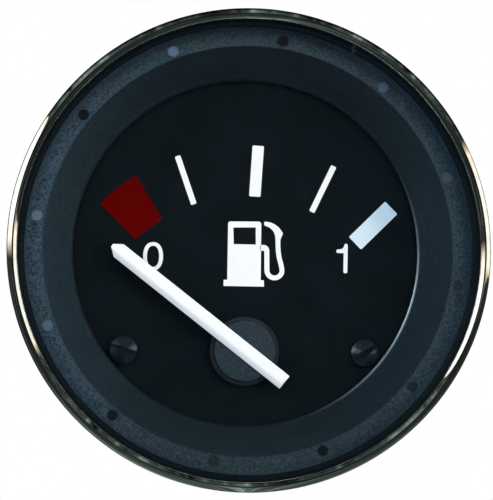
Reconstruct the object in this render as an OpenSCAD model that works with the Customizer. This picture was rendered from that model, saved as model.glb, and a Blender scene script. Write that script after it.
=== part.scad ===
// Dashboard fuel gauge of the 52 mm instrument size.
// Each piece is drawn on the bench: +Z out of the dial, +Y to the top of the dial, and Z = 0 where
// the bezel seats on the dashboard panel. installed() then stands it upright, with its face to -Y.

/* [Bezel] */
// How far the bezel stands out beyond the barrel
bezel_overhang = 4.1; // [3.5:0.1:6]
// Thickness of the bezel's sheet metal, folded double at the front
bezel_sheet = 0.7; // [0.5:0.05:0.9]
// Straight part of the folded front edge, under the rounded crest
bezel_hem = 0.4; // [0.2:0.1:1]
// Outer radius of the crimped rear corner
bezel_corner = 1; // [0.9:0.1:1.1]

/* [Lens and seal] */
// Thickness of the glass
lens_t = 1.8; // [1.2:0.1:3]
// Width of the seal that shows inside the bezel
seal_lip = 0.8; // [0.4:0.1:1.2]
// Thickness of the seal's front lip
seal_t = 0.6; // [0.4:0.1:1]
// Thickness of the seal around the edge of the glass
seal_wall = 0.8; // [0.5:0.1:1.2]

/* [Surround] */
// Thickness of the surround's flange
surround_t = 1.2; // [0.8:0.1:2]
// Wall thickness of the surround's cone
surround_wall = 0.9; // [0.7:0.1:1.1]
// How far the inner edge of the textured land lies inside the case's outer radius
land_inset = 0.4; // [0.4:0.1:1.5]
// How far the foot of the cone lies inside the case's outer radius
view_inset = 4.3; // [3.5:0.1:4.6]
// Height of the upright rim at the foot of the cone
rim_h = 0.5; // [0.3:0.1:1]
// Depth of the dial below the land
dial_drop = 6.2; // [5:0.1:9]
// Gap for light between the rim and the dial
rim_gap = 0.3; // [0.2:0.1:0.6]
// Number of round moulding marks on the land
mark_count = 12; // [6:1:18]
// Diameter of a moulding mark
mark_d = 1.15; // [0.8:0.05:1.6]
// Depth of a moulding mark
mark_deep = 0.15; // [0.1:0.05:0.4]
// Distance from the land's inner edge to the middle of a mark
mark_inset = 1; // [0.8:0.1:1.4]
// Angle of the first mark
mark_turn = 21.2; // [0:0.1:30]

/* [Case] */
// Outer diameter of the barrel, which passes the panel's hole
case_od = 51.8; // [51.4:0.2:53]
// Wall thickness of the barrel
case_wall = 1.1; // [0.9:0.1:1.4]
// Depth of the case behind the panel's face
case_depth = 38; // [37:0.5:46]
// Thickness of the back
case_back = 1.8; // [1.2:0.1:2.5]
// Thickness of the flange that the bezel grips
flange_t = 1.2; // [1:0.1:2]
// Radius of the case's rear edge
case_round = 1.5; // [0.8:0.1:2]
// Depth of the sunk part of the back
back_sink = 0.6; // [0.3:0.1:0.8]
// Width of the plain rim round the sunk part of the back
back_rim = 2.5; // [2.2:0.1:3]

/* [Dial] */
// Thickness of the dial plate
dial_t = 0.5; // [0.3:0.1:1]
// Distance from the pointer's axis down to the inside of the barrel
pivot_to_wall = 12.5; // [12.2:0.1:13]
// Radius of the hole that the pointer's boss passes
dial_hole_r = 2.2; // [2:0.1:3]
// Thickness of the printed ink
ink_t = 0.06; // [0.04:0.01:0.1]
// Inner radius of the scale, from the pointer's axis
scale_r = 19.5; // [17:0.1:20.5]
// Length of every scale mark
scale_len = 6.4; // [4:0.1:7]
// Width of the quarter marks
thin_mark_w = 0.72; // [0.4:0.02:1.2]
// Width of the half mark
half_mark_w = 1.43; // [1:0.05:2]
// Width of the full mark
full_mark_w = 2.2; // [1.5:0.1:3]
// Angle of the full mark, clockwise from upright
full_angle = 45; // [42:0.5:48]

/* [Pointer] */
// Width of the needle
needle_w = 2; // [1.4:0.1:2.6]
// Length from the axis to the needle's tip
needle_tip = 21.2; // [18:0.1:22]
// Length from the axis to the needle's tail
needle_tail = 6.3; // [5:0.1:7.5]
// Height of the needle's upright sides
needle_side = 0.3; // [0.2:0.05:0.6]
// Rise of the needle's rounded back above its sides
needle_crown = 0.6; // [0.3:0.05:0.8]
// Outer radius of the hub
hub_r = 4.33; // [3.6:0.05:5]
// How far the hub's raised face lies inside its outer radius
hub_step = 0.55; // [0.3:0.05:1]
// Gap between the hub and the dial
hub_gap = 0.6; // [0.4:0.1:1.2]
// Thickness of the hub's base
hub_base_t = 0.5; // [0.3:0.1:1]
// Height of the hub's raised face above its base
hub_face_t = 0.9; // [0.6:0.1:1.5]
// Angle of the needle at rest, anticlockwise from upright
rest_angle = 52.3; // [48:0.1:55]
// Whole travel of the needle between its stops
sweep = 104; // [90:1:110]

/* [Movement] */
// Height of the posts that carry the dial
post_h = 4; // [3.6:0.1:6]
// Thickness of the movement's frame
frame_t = 1.6; // [1.2:0.1:2.4]
// Radius of the spindle
spindle_r = 0.6; // [0.4:0.05:0.7]
// Half the width of the coil former
former_half = 7; // [6.6:0.1:7.2]
// Height of the coil former
former_h = 8.6; // [8:0.1:10]
// Thickness of each winding
coil_t = 1.6; // [1:0.1:1.8]
// Width of each half of a winding
coil_w = 3; // [2:0.1:3.2]
// Gap between the halves of a winding, where the spindle passes
coil_gap = 1.8; // [1.6:0.1:2.2]
// Radius of the disc magnet
magnet_r = 5; // [4:0.1:5.6]
// Height of the disc magnet
magnet_h = 3.4; // [2:0.1:4]
// Wall thickness of the magnetic shield
shield_t = 0.6; // [0.4:0.1:0.8]
// Thickness of the circuit board
board_t = 1.6; // [1:0.1:2]

/* [Fixings] */
// Thread radius of the small screws
screw_r = 1; // [0.8:0.05:1.2]
// Head radius of the small screws
screw_head_r = 1.8; // [1.6:0.05:2]
// Head height of the small screws
screw_head_h = 1.1; // [0.8:0.1:1.4]
// Radius of the mounting studs
stud_r = 2; // [1.8:0.1:2.4]
// Distance of each mounting stud from the axis
stud_x = 16; // [15:0.1:17.5]
// Length of the mounting studs behind the case
stud_len = 23; // [22:0.5:28]
// Height of the hexagon nuts on the case
hex_nut_h = 2.2; // [1.8:0.1:3]
// Thickness of the flat washers on the case
washer_t = 0.8; // [0.5:0.1:1.2]
// Height of the thumb nuts
thumb_nut_h = 4.5; // [3.5:0.1:5]
// Outer radius of the thumb nuts
thumb_nut_r = 4.75; // [4.2:0.05:5.5]

/* [Bracket] */
// Thickness of the bracket's steel strip
strip_t = 1.2; // [1:0.1:2]
// Width of the bracket's strip
strip_w = 10; // [9:0.5:13]
// Gap between the case and the bracket's legs
leg_gap = 1.3; // [1.3:0.1:2]
// Radius of the corners at the end of each leg
leg_round = 2; // [1:0.1:3]
// Panel thickness that the bracket stands open for
panel_gap = 5; // [4.5:0.1:6]
// Thinnest panel that the bracket can be wound down to
panel_min = 0.5; // [0.5:0.1:1.5]
// Inner radius of the bracket's bends
bend_r = 1.2; // [0.8:0.1:2]

/* [Lamp and terminals] */
// Distance from the lamp holder's axis up to the inside of the barrel
lamp_to_wall = 9.8; // [9.2:0.1:10]
// Radius of the bore for the lamp holder
lamp_bore_r = 6; // [5.4:0.1:6.2]
// Radius of the lamp holder's flange
lamp_flange_r = 7.2; // [7:0.1:7.6]
// Length of the lamp holder's grip behind the case
lamp_grip_len = 6; // [4:0.5:8]
// Length of the lamp's contacts beyond the grip
lamp_tab_len = 6; // [4:0.5:8]
// Radius of the glass bulb
bulb_r = 2.5; // [2:0.1:3]
// Length of the bulb in front of its holder
bulb_len = 14.5; // [12:0.1:16]
// Width of the terminal blades
blade_w = 6.3; // [4.8:0.1:6.5]
// Thickness of the terminal blades
blade_t = 0.8; // [0.5:0.1:1]
// Distance from the blades' middles to the inside of the barrel
blade_to_wall = 7.3; // [6.5:0.1:7.8]
// Angle between neighbouring blades, seen along the case
blade_turn = 34; // [33:0.5:38]
// Length of the terminal blades behind the case
blade_len = 9; // [7:0.1:11]

/* [Hidden] */
$fn = 96;

// Small allowances, all in millimetres
cut = 0.5;          // how far a cutting tool runs past a face
seat_fit = 0.1;     // between the pieces stacked in the bezel and its skirt
close_fit = 0.02;   // between a screw or pin and the hole that holds it
run_fit = 0.03;     // between the spindle and its bearings
thread_fit = 0.05;  // between a stud and the nut that turns on it
stud_play = 0.25;   // between a stud and the bracket or washer that slides along it
turn_gap = 0.3;     // between a moving piece and what it passes

// Radii of the pieces stacked in the bezel
case_r = case_od / 2;
bezel_r = case_r + bezel_overhang;
bezel_lip_r = bezel_r - 2 * bezel_sheet;
stack_r = bezel_r - bezel_sheet - seat_fit;
lens_r = stack_r - seal_wall;
seal_in_r = bezel_lip_r - seal_lip;
bore_r = case_r - case_wall;
crimp_gap = 1.1;
crimp_r = case_r + crimp_gap;
root_r = crimp_r - 0.2;
land_r = case_r - land_inset;
view_r = case_r - view_inset;

// Heights of the pieces stacked in the bezel, from the seat forwards
flange_z = bezel_sheet;
flange_top = flange_z + flange_t;
land_z = flange_top + surround_t;
lens_top = land_z + lens_t;
seal_top = lens_top + seal_t;
crest_z = seal_top + bezel_hem;

// Heights from the dial backwards
dial_z = land_z - dial_drop;
dial_back = dial_z - dial_t;
rim_foot = dial_z + rim_gap;
rim_top = rim_foot + rim_h;
frame_top = dial_back - post_h;
frame_foot = frame_top - frame_t;
coil_air = 0.2;
former_top = frame_foot - coil_air - 2 * coil_t;
former_mid = former_top - former_h / 2;
former_foot = former_top - former_h;
shield_floor = former_foot - 2 * coil_t - coil_air;
board_top = shield_floor - shield_t;
board_foot = board_top - board_t;
back_z = -case_depth;
back_inside = back_z + case_back;

// Slope of the surround's cone, and what its wall measures across
cone_slope = (land_r - view_r) / (land_z - rim_top);
cone_wall = surround_wall * sqrt(1 + cone_slope * cone_slope);
mouth_gap = 0.2;

// Places on the dial
dial_r = bore_r - 0.5;
pivot_drop = bore_r - pivot_to_wall;
pivot = [0, -pivot_drop];
screw_inset = 0.3;
dial_screw_grip = 3;
board_screw_grip = 4;
screw_x = sqrt(pow(view_r - screw_head_r - screw_inset, 2) - pivot_drop * pivot_drop);
screw_places = [[-screw_x, -pivot_drop], [screw_x, -pivot_drop]];
quarter_angles = [-19.5, 25.2];
half_angle = 3.3;
reserve_angles = [-45, -32.3];

// The pointer
hub_foot = dial_z + hub_gap;
hub_top = hub_foot + hub_base_t + hub_face_t;
hub_boss_r = dial_hole_r - 0.7;
hub_boss_foot = dial_back - 0.6;
spindle_top = hub_top - 0.45;
spindle_foot = former_foot + 0.6;
frame_boss_h = 1.2;
frame_boss_r = 2.2;
stop_z = frame_top + frame_boss_h + turn_gap;
stop_t = 0.8;
stop_w = 1;
stop_len = 5;
stop_post_r = 0.6;
stop_post_place = 4.2;
stop_gap = 0.15;

// The movement
coil_side = coil_gap / 2 + coil_w / 2;
former_leg_r = 1.3;
former_leg = former_half - former_leg_r;
shield_r = former_half * sqrt(2) + 0.4 + shield_t;
lug_r = 3.4;
post_r = 2.4;
pillar_r = 2.2;
spigot_r = 1.2;
spigot_h = 1;
magnet_room = 0.5;
board_r = bore_r - 1.3;

// Resistors on the circuit board
lead_r = 0.3;
resistor_r = 1.2;
resistor_len = 6.3;
resistor_x = 8;
resistor_y = 4;
resistor_lift = 0.5;
lead_span = resistor_len / 2 + 1.2;
resistor_leads = [
    for (x = [-resistor_x, resistor_x], y = [-lead_span, lead_span]) [x, resistor_y + y]
];

// Fixings on the back
stud_places = [[-stud_x, 0], [stud_x, 0]];
stud_collar_r = 3.5;
stud_boss_r = 5.3;
stud_tip_z = back_z - stud_len;
stud_top_r = 1.5;
board_nut_h = 2;
board_hex_r = 3.2;
hex_r = 4.04;
washer_rim = 2.5;
nut_stack = washer_t + hex_nut_h;
bracket_reserve = 0.5;
bridge_front = back_z - nut_stack - bracket_reserve - (panel_gap - panel_min);
bridge_back = bridge_front - strip_t;
spring_washer_t = 0.9;
spring_washer_rim = 1.9;
spring_split = 0.6;
thumb_nut_front = bridge_back - spring_washer_t - thread_fit;
leg_x = case_r + leg_gap;
leg_front = -panel_gap;

// The lamp and the terminals
boss_rim = 0.5;
lamp_fit = 0.15;
lamp_place = [0, bore_r - lamp_to_wall];
lamp_collar_wall = 1.4;
lamp_collar_top = back_inside + 3;
lamp_flange_t = 1.6;
lamp_board_gap = 1.7;
lamp_plug_top = board_foot - lamp_board_gap;
lamp_grip_inset = 2.6;
lamp_grip_w = 2.6;
lamp_grip_end = back_z - lamp_grip_len;
lamp_tab_w = 2.8;
lamp_tab_t = 0.5;
lamp_tab_x = 2.6;
lamp_tab_end = lamp_grip_end - lamp_tab_len;
bulb_room = 1.5;
wedge_w = 4.6;
wedge_t = 1.8;
wedge_deep = 3;
blade_ring_r = bore_r - blade_to_wall;
blade_places = [for (a = [-blade_turn, 0, blade_turn]) blade_ring_r * [sin(a), -cos(a)]];
blade_end = back_z - blade_len;
blade_tip = 1.2;
blade_hole_r = 0.8;
blade_hole_inset = 3;
blade_shoulder_w = 2;
blade_shoulder_h = 3;
blade_land = 1;
board_recess = 0.4;
blade_top = board_top - board_recess - 0.2;

// Turns a bench drawing into the installed position
module installed() rotate([90, 0, 0]) children();

// Places children on the pointer's axis
module on_pivot() translate([pivot.x, pivot.y, 0]) children();

// A disc or tube standing on z
module rod(r, z0, z1) translate([0, 0, z0]) cylinder(r = r, h = z1 - z0);

// A ring standing on z0
module ring(r_out, r_in, z0, z1) difference() {
    rod(r_out, z0, z1);
    rod(r_in, z0 - cut, z1 + cut);
}

// A block centred on x and y, standing on z0
module block(w, d, z0, z1) translate([-w / 2, -d / 2, z0]) cube([w, d, z1 - z0]);

// A rectangle with round corners, centred on its middle
module round_rect(w, h, r) {
    square([w - 2 * r, h], center = true);
    square([w, h - 2 * r], center = true);
    for (x = [-1, 1], y = [-1, 1]) translate([x * (w / 2 - r), y * (h / 2 - r)]) circle(r);
}

// A rectangle given by two opposite corners
module box2d(a, b) translate(a) square(b - a);

// Points of a fillet of radius r at corner p, between neighbours a and b
function unit(v) = v / norm(v);
function fillet(p, a, b, r, n = 5) =
    let (
        u = unit(a - p),
        v = unit(b - p),
        half = acos(u * v) / 2,
        c = p + unit(u + v) * r / sin(half),
        from = p + u * r / tan(half) - c,
        to = p + v * r / tan(half) - c,
        start = atan2(from.y, from.x),
        turn = (atan2(to.y, to.x) - start + 540) % 360 - 180
    )
    [for (i = [0:n]) c + r * [cos(start + turn * i / n), sin(start + turn * i / n)]];

// Bezel: one steel sheet, folded double at the front and crimped under the case's flange
module bezel() installed() color("gainsboro") rotate_extrude() {
    box2d([bezel_r - bezel_sheet, bezel_corner], [bezel_r, crest_z]);
    box2d([bezel_lip_r, seal_top], [bezel_r - bezel_sheet, crest_z]);
    intersection() {
        translate([bezel_r - bezel_sheet, crest_z]) circle(bezel_sheet);
        box2d([bezel_lip_r, crest_z], [bezel_r, crest_z + bezel_sheet]);
    }
    intersection() {
        translate([bezel_r - bezel_corner, bezel_corner]) difference() {
            circle(bezel_corner);
            circle(bezel_corner - bezel_sheet);
        }
        box2d([bezel_r - bezel_corner, 0], [bezel_r, bezel_corner]);
    }
    box2d([crimp_r, 0], [bezel_r - bezel_corner, bezel_sheet]);
}

// Lens: flat glass with ground edges
module lens() installed() color("aliceblue", 0.3) {
    arris = 0.2;
    rotate_extrude() polygon([
        [0, land_z], [lens_r - arris, land_z], [lens_r, land_z + arris],
        [lens_r, lens_top - arris], [lens_r - arris, lens_top], [0, lens_top]
    ]);
}

// Seal: rubber ring of angle section, round the lens and over its front edge
module lens_seal() installed() color("black") rotate_extrude() {
    box2d([lens_r + close_fit, land_z], [stack_r, seal_top]);
    box2d([seal_in_r, lens_top], [stack_r, seal_top]);
}

// Surround: textured land, cone down to the dial, and a ring of moulding marks
module dial_surround() installed() color("darkslategray") {
    edge = 0.25;
    outer_top = [stack_r, land_z];
    brow = [land_r, land_z];
    foot = [view_r, rim_top];
    foot_end = [view_r, rim_foot];
    back_at_flange = land_r + cone_wall - (land_z - flange_top) * cone_slope;
    difference() {
        rotate_extrude() polygon(concat(
            [[stack_r, flange_top], outer_top],
            fillet(brow, outer_top, foot, edge),
            fillet(foot, brow, foot_end, edge / 2),
            [
                foot_end, [view_r + cone_wall, rim_foot],
                [view_r + cone_wall, rim_top], [back_at_flange, flange_top]
            ]
        ));
        for (i = [0:mark_count - 1]) rotate(mark_turn + i * 360 / mark_count)
            translate([land_r + mark_inset, 0, 0])
                rod(mark_d / 2, land_z - mark_deep, land_z + cut);
    }
}

// Case: moulded cup with a flange, a flared mouth, and a back sunk round its bosses
module case() installed() color("dimgray") difference() {
    union() {
        difference() {
            case_shell();
            rod(case_r - back_rim, back_z - cut, back_z + back_sink);
        }
        for (p = stud_places) translate(p) rod(stud_boss_r, back_z, back_inside);
        translate(lamp_place) rod(lamp_flange_r + boss_rim, back_z, back_inside);
        translate(lamp_place)
            rod(lamp_bore_r + lamp_collar_wall, back_inside - cut / 2, lamp_collar_top);
        for (p = blade_places) translate([p.x, p.y, back_z]) linear_extrude(case_back)
            round_rect(
                blade_w + 2 * (boss_rim + blade_land), blade_t + 2 * (boss_rim + blade_land), 1.2
            );
    }
    for (p = stud_places) translate(p) rod(stud_r + close_fit, back_z - cut, back_inside + cut);
    translate(lamp_place) rod(lamp_bore_r, back_z - cut, lamp_collar_top + cut);
    for (p = blade_places) translate(p)
        block(blade_w + 2 * close_fit, blade_t + 2 * close_fit, back_z - cut, back_inside + cut);
}

module case_shell() {
    mouth_top_r = land_r + cone_wall - (land_z - flange_top) * cone_slope + mouth_gap;
    mouth_foot = flange_top - (mouth_top_r - bore_r) / cone_slope;
    rear_corner = [case_r, back_z];
    arris = bezel_corner - bezel_sheet;
    rotate_extrude() polygon(concat(
        [[mouth_top_r, flange_top], [stack_r, flange_top], [stack_r, flange_z + arris]],
        [[stack_r - arris, flange_z], [root_r, flange_z], [root_r, 0], [case_r, 0]],
        fillet(rear_corner, [case_r, 0], [0, back_z], case_round, 8),
        [[0, back_z], [0, back_inside], [bore_r, back_inside], [bore_r, mouth_foot]]
    ));
}

// Dial plate: thin disc, drilled for its screws and the pointer's boss
module dial_plate() installed() color("#10181c") difference() {
    rod(dial_r, dial_back, dial_z);
    on_pivot() rod(dial_hole_r, dial_back - cut, dial_z + cut);
    for (p = screw_places) translate(p) rod(screw_r + 0.1, dial_back - cut, dial_z + cut);
}

// One straight scale mark at an angle clockwise from upright
module scale_mark(angle, w) on_pivot() rotate(-angle)
    translate([0, scale_r + scale_len / 2, dial_z]) linear_extrude(ink_t)
        round_rect(w, scale_len, 0.14);

module scale_marks() installed() color("white") {
    for (a = quarter_angles) scale_mark(a, thin_mark_w);
    scale_mark(half_angle, half_mark_w);
}

module full_mark() installed() color("lightsteelblue") scale_mark(full_angle, full_mark_w);

// Reserve mark: sector of the scale between empty and one eighth
module reserve_mark() installed() color("darkred") on_pivot() {
    a = reserve_angles;
    far = 2 * scale_r;
    translate([0, 0, dial_z]) linear_extrude(ink_t) intersection() {
        difference() {
            circle(scale_r + scale_len);
            circle(scale_r);
        }
        polygon([[0, 0], far * [sin(a[0]), cos(a[0])], far * [sin(a[1]), cos(a[1])]]);
    }
}

// Slotted screw with a domed head: the head stands on z = 0 and the shank runs down
module slotted_screw(shank, slot_turn) {
    dome = 0.45;
    dome_r = (pow(screw_head_r, 2) + pow(dome, 2)) / (2 * dome);
    difference() {
        union() {
            rod(screw_head_r, 0, screw_head_h - dome);
            intersection() {
                translate([0, 0, screw_head_h - dome_r]) sphere(dome_r);
                rod(screw_head_r, screw_head_h - dome, screw_head_h + cut);
            }
            rod(screw_r, -shank, 0);
        }
        rotate(slot_turn)
            block(2 * screw_head_r + cut, 0.5, screw_head_h - 0.6, screw_head_h + cut);
    }
}

module dial_screws() installed() color("#202426") {
    turns = [-18, 31];
    for (i = [0, 1]) translate([screw_places[i].x, screw_places[i].y, dial_z])
        slotted_screw(dial_t + dial_screw_grip, turns[i]);
}

// Frame: moulded plate that carries the dial on two posts and the spindle's front bearing
module movement_frame() installed() color("ivory") difference() {
    union() {
        translate([0, 0, frame_foot]) linear_extrude(frame_t) {
            translate(pivot) circle(shield_r);
            translate(pivot) square([2 * screw_x, 2 * lug_r], center = true);
            for (p = screw_places) translate(p) circle(lug_r);
        }
        for (p = screw_places) translate(p) rod(post_r, frame_foot, dial_back);
        on_pivot() rod(frame_boss_r, frame_foot, frame_top + frame_boss_h);
        on_pivot() stop_posts();
    }
    on_pivot() rod(spindle_r + run_fit, frame_foot - cut, frame_top + frame_boss_h + cut);
    for (p = screw_places) translate(p) {
        rod(screw_r + close_fit, dial_back - dial_screw_grip - 0.4, dial_back + cut);
        rod(spigot_r + close_fit, frame_foot - cut, frame_foot + spigot_h);
    }
}

// Posts that end the pointer's travel, one either side of the stop arm
module stop_posts() {
    reach = asin((stop_w / 2 + stop_post_r + stop_gap) / stop_post_place);
    arm_rest = rest_angle - 90;
    for (a = [arm_rest + reach, arm_rest - sweep - reach]) rotate(a)
        translate([stop_post_place, 0, 0]) rod(stop_post_r, frame_top, stop_z + stop_t);
}

// Half of the coil former: block with a recess for the disc magnet and four legs
module former_half_block(z_flat, z_mid, z_leg) {
    room_h = (magnet_h + 2 * magnet_room) / 2;
    inward = sign(z_flat - z_mid);
    difference() {
        union() {
            translate([0, 0, min(z_flat, z_mid)]) linear_extrude(abs(z_flat - z_mid))
                round_rect(2 * former_half, 2 * former_half, former_leg_r);
            for (x = [-1, 1], y = [-1, 1]) translate([x * former_leg, y * former_leg, 0])
                rod(former_leg_r, min(z_mid, z_leg), max(z_mid, z_leg));
        }
        rod(magnet_r + magnet_room, min(z_mid, z_mid + inward * room_h) - (inward > 0 ? cut : 0),
            max(z_mid, z_mid + inward * room_h) + (inward > 0 ? 0 : cut));
        children();
    }
}

module coil_former_front() installed() color("linen") on_pivot()
    former_half_block(former_top, former_mid, frame_foot)
        rod(spindle_r + turn_gap, former_mid, former_top + cut);

module coil_former_rear() installed() color("linen") on_pivot()
    former_half_block(former_foot, former_mid, shield_floor)
        rod(spindle_r + run_fit, former_foot + 0.5, former_mid + cut);

// A winding of two halves, standing on edge round the former
module winding(half_w, half_h) for (side = [-1, 1])
    translate([0, side * coil_side + coil_w / 2, former_mid]) rotate([90, 0, 0])
        linear_extrude(coil_w) difference() {
            round_rect(2 * (half_w + coil_t), 2 * (half_h + coil_t), 1.2);
            square([2 * half_w, 2 * half_h], center = true);
        }

module inner_winding() installed() color("peru") on_pivot()
    winding(former_half + close_fit, former_h / 2 + close_fit);

module outer_winding() installed() color("chocolate") on_pivot() rotate(90)
    winding(former_half + close_fit, former_h / 2 + coil_t + 2 * close_fit);

// Shield: drawn steel cup round the windings
module magnetic_shield() installed() color("silver") on_pivot() difference() {
    rod(shield_r, board_top, frame_foot);
    rod(shield_r - shield_t, shield_floor, frame_foot + cut);
}

// Magnet that draws the pointer back to its stop when the current is off
module return_magnet() installed() color("dimgray") on_pivot()
    translate([0, 7, 0]) block(4, 2.4, frame_top, frame_top + 1.6);

// Pillars between the frame and the circuit board
module frame_pillars() installed() color("darkkhaki") for (p = screw_places) translate(p)
    difference() {
        union() {
            rod(pillar_r, board_top, frame_foot);
            rod(spigot_r, frame_foot, frame_foot + spigot_h - 0.1);
        }
        rod(screw_r + close_fit, board_top - cut, board_top + board_screw_grip + 0.5);
    }

module circuit_board() installed() color("darkgoldenrod") difference() {
    rod(board_r, board_foot, board_top);
    for (p = stud_places) translate(p)
        rod(stud_top_r + close_fit, board_foot - cut, board_top + cut);
    for (p = screw_places) translate(p) rod(screw_r + 0.1, board_foot - cut, board_top + cut);
    translate(lamp_place) rod(bulb_r + bulb_room, board_foot - cut, board_top + cut);
    for (p = blade_places) translate(p)
        block(
            blade_w + 2 * close_fit, blade_t + 2 * close_fit,
            board_foot - cut, board_top - board_recess
        );
    for (p = resistor_leads) translate(p) rod(lead_r + close_fit, board_foot - cut, board_top + cut);
}

module board_screws() installed() color("silver") for (p = screw_places)
    translate([p.x, p.y, board_foot]) mirror([0, 0, 1])
        slotted_screw(board_t + board_screw_grip, 45);

// Resistors: two cylinders on bent leads, below the lamp's hole
module resistors() installed() color("tan") {
    axis_z = board_top + resistor_lift + resistor_r;
    for (x = [-resistor_x, resistor_x]) translate([x, resistor_y, axis_z]) {
        rotate([90, 0, 0]) {
            rod(resistor_r, -resistor_len / 2, resistor_len / 2);
            rod(lead_r, -lead_span, lead_span);
        }
        for (y = [-lead_span, lead_span]) translate([0, y, -axis_z])
            rod(lead_r, board_foot - 0.8, axis_z);
    }
}

// Studs: turned, with a collar that spaces the board from the back of the case
module mounting_studs() installed() color("silver") for (p = stud_places) translate(p) {
    tip = 0.4;
    rotate_extrude() polygon([
        [0, board_top + board_nut_h + 0.6], [stud_top_r, board_top + board_nut_h + 0.6],
        [stud_top_r, board_foot], [stud_collar_r, board_foot], [stud_collar_r, back_inside],
        [stud_r, back_inside], [stud_r, stud_tip_z + tip], [stud_r - tip, stud_tip_z],
        [0, stud_tip_z]
    ]);
}

// Hexagon nut with a bore for a stud, between two heights
module hex_nut(r, bore, z0, z1) difference() {
    translate([0, 0, z0]) cylinder(r = r, h = z1 - z0, $fn = 6);
    rod(bore, z0 - cut, z1 + cut);
}

module board_nuts() installed() color("silver") for (p = stud_places) translate(p)
    hex_nut(board_hex_r, stud_top_r + close_fit, board_top, board_top + board_nut_h);

module case_washers() installed() color("silver") for (p = stud_places) translate(p)
    ring(stud_r + washer_rim, stud_r + close_fit, back_z - washer_t, back_z);

module case_nuts() installed() color("silver") for (p = stud_places) translate(p)
    hex_nut(hex_r, stud_r + close_fit, back_z - nut_stack, back_z - washer_t);

// Blade terminal: shouldered inside the case, chamfered and pierced at its free end
module terminal(place) translate(place) difference() {
    half = blade_w / 2;
    union() {
        rotate([90, 0, 0]) translate([0, 0, -blade_t / 2]) linear_extrude(blade_t) polygon([
            [-half, blade_top], [half, blade_top], [half, blade_end + blade_tip],
            [half - blade_tip, blade_end], [blade_tip - half, blade_end],
            [-half, blade_end + blade_tip]
        ]);
        block(blade_w + blade_shoulder_w, blade_t, back_inside, back_inside + blade_shoulder_h);
    }
    translate([0, 0, blade_end + blade_hole_inset]) rotate([90, 0, 0])
        rod(blade_hole_r, -blade_t, blade_t);
}

module supply_terminal() installed() color("khaki") terminal(blade_places[0]);
module sender_terminal() installed() color("khaki") terminal(blade_places[1]);
module ground_terminal() installed() color("khaki") terminal(blade_places[2]);

// Turns children from upright to the needle's place at rest
module at_rest() on_pivot() rotate(rest_angle) children();

// Needle: flat-based bar with a rounded back, a pointed tip and a bevelled tail
module needle() installed() color("white") at_rest() intersection() {
    half = needle_w / 2;
    crown_r = (half * half + needle_crown * needle_crown) / (2 * needle_crown);
    axis_z = hub_top + needle_side + needle_crown - crown_r;
    height = needle_side + needle_crown;
    point = 1.05;
    blunt = 0.2;
    translate([0, 0, hub_top]) linear_extrude(height + cut) polygon([
        [half, -needle_tail], [half, needle_tip - point], [blunt, needle_tip],
        [-blunt, needle_tip], [-half, needle_tip - point], [-half, -needle_tail]
    ]);
    rotate([-90, 0, 0]) union() {
        translate([0, -axis_z, 0]) rod(crown_r, -needle_tail - cut, needle_tip + cut);
        translate([-half, -hub_top - needle_side, -needle_tail - cut])
            cube([needle_w, needle_side, needle_tail + needle_tip + 2 * cut]);
    }
    rotate([90, 0, 90]) translate([0, 0, -needle_w]) linear_extrude(2 * needle_w) polygon([
        [-needle_tail, hub_top], [needle_tip + cut, hub_top],
        [needle_tip + cut, hub_top + height + cut], [-needle_tail + 0.8, hub_top + height + cut],
        [-needle_tail + 0.45, hub_top + height], [-needle_tail, hub_top + needle_side]
    ]);
}

// Hub: stepped disc with a boss that grips the spindle
module pointer_hub() installed() color("#333b42") on_pivot() {
    step_z = hub_foot + hub_base_t;
    face_r = hub_r - hub_step;
    edge = 0.2;
    base_out = [hub_r, step_z];
    rotate_extrude() polygon(concat(
        [[spindle_r + close_fit, hub_boss_foot], [hub_boss_r, hub_boss_foot]],
        [[hub_boss_r, hub_foot], [hub_r, hub_foot]],
        fillet(base_out, [hub_r, hub_foot], [face_r, step_z], edge, 3),
        [[face_r + 0.1, step_z]],
        fillet([face_r, hub_top], [face_r + 0.1, step_z], [0, hub_top], edge, 3),
        [[0, hub_top], [0, spindle_top], [spindle_r + close_fit, spindle_top]]
    ));
}

module spindle() installed() color("silver") on_pivot() rod(spindle_r, spindle_foot, spindle_top);

// Stop arm: collar on the spindle with a finger that meets the frame's posts
module stop_arm() installed() color("silver") at_rest() difference() {
    union() {
        rod(1.7, stop_z, stop_z + stop_t);
        translate([-stop_w / 2, -stop_len, stop_z]) cube([stop_w, stop_len, stop_t]);
    }
    rod(spindle_r + close_fit, stop_z - cut, stop_z + stop_t + cut);
}

module disc_magnet() installed() color("dimgray") on_pivot()
    ring(magnet_r, spindle_r + close_fit, former_mid - magnet_h / 2, former_mid + magnet_h / 2);

// Bracket: steel strip bent into a stirrup, with rounded ends to its legs and a hole for each stud
module mounting_bracket() installed() color("lightsteelblue") difference() {
    reach = leg_x + strip_t + cut;
    intersection() {
        translate([0, strip_w / 2, 0]) rotate([90, 0, 0]) linear_extrude(strip_w)
            for (side = [0, 1]) mirror([side, 0]) bracket_half();
        translate([-reach, 0, (leg_front + bridge_back) / 2 - leg_round]) rotate([90, 0, 90])
            linear_extrude(2 * reach)
                round_rect(strip_w, leg_front - bridge_back + 2 * leg_round, leg_round);
    }
    for (p = stud_places) translate(p)
        rod(stud_r + stud_play, bridge_back - cut, bridge_front + cut);
}

// Half of the stirrup seen from above: bridge, bend and leg
module bracket_half() {
    out_r = bend_r + strip_t;
    leg_out = leg_x + strip_t;
    box2d([0, bridge_back], [leg_out - out_r, bridge_front]);
    box2d([leg_x, bridge_back + out_r], [leg_out, leg_front]);
    translate([leg_out - out_r, bridge_back + out_r]) intersection() {
        difference() {
            circle(out_r);
            circle(bend_r);
        }
        box2d([0, -out_r], [out_r, 0]);
    }
}

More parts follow.
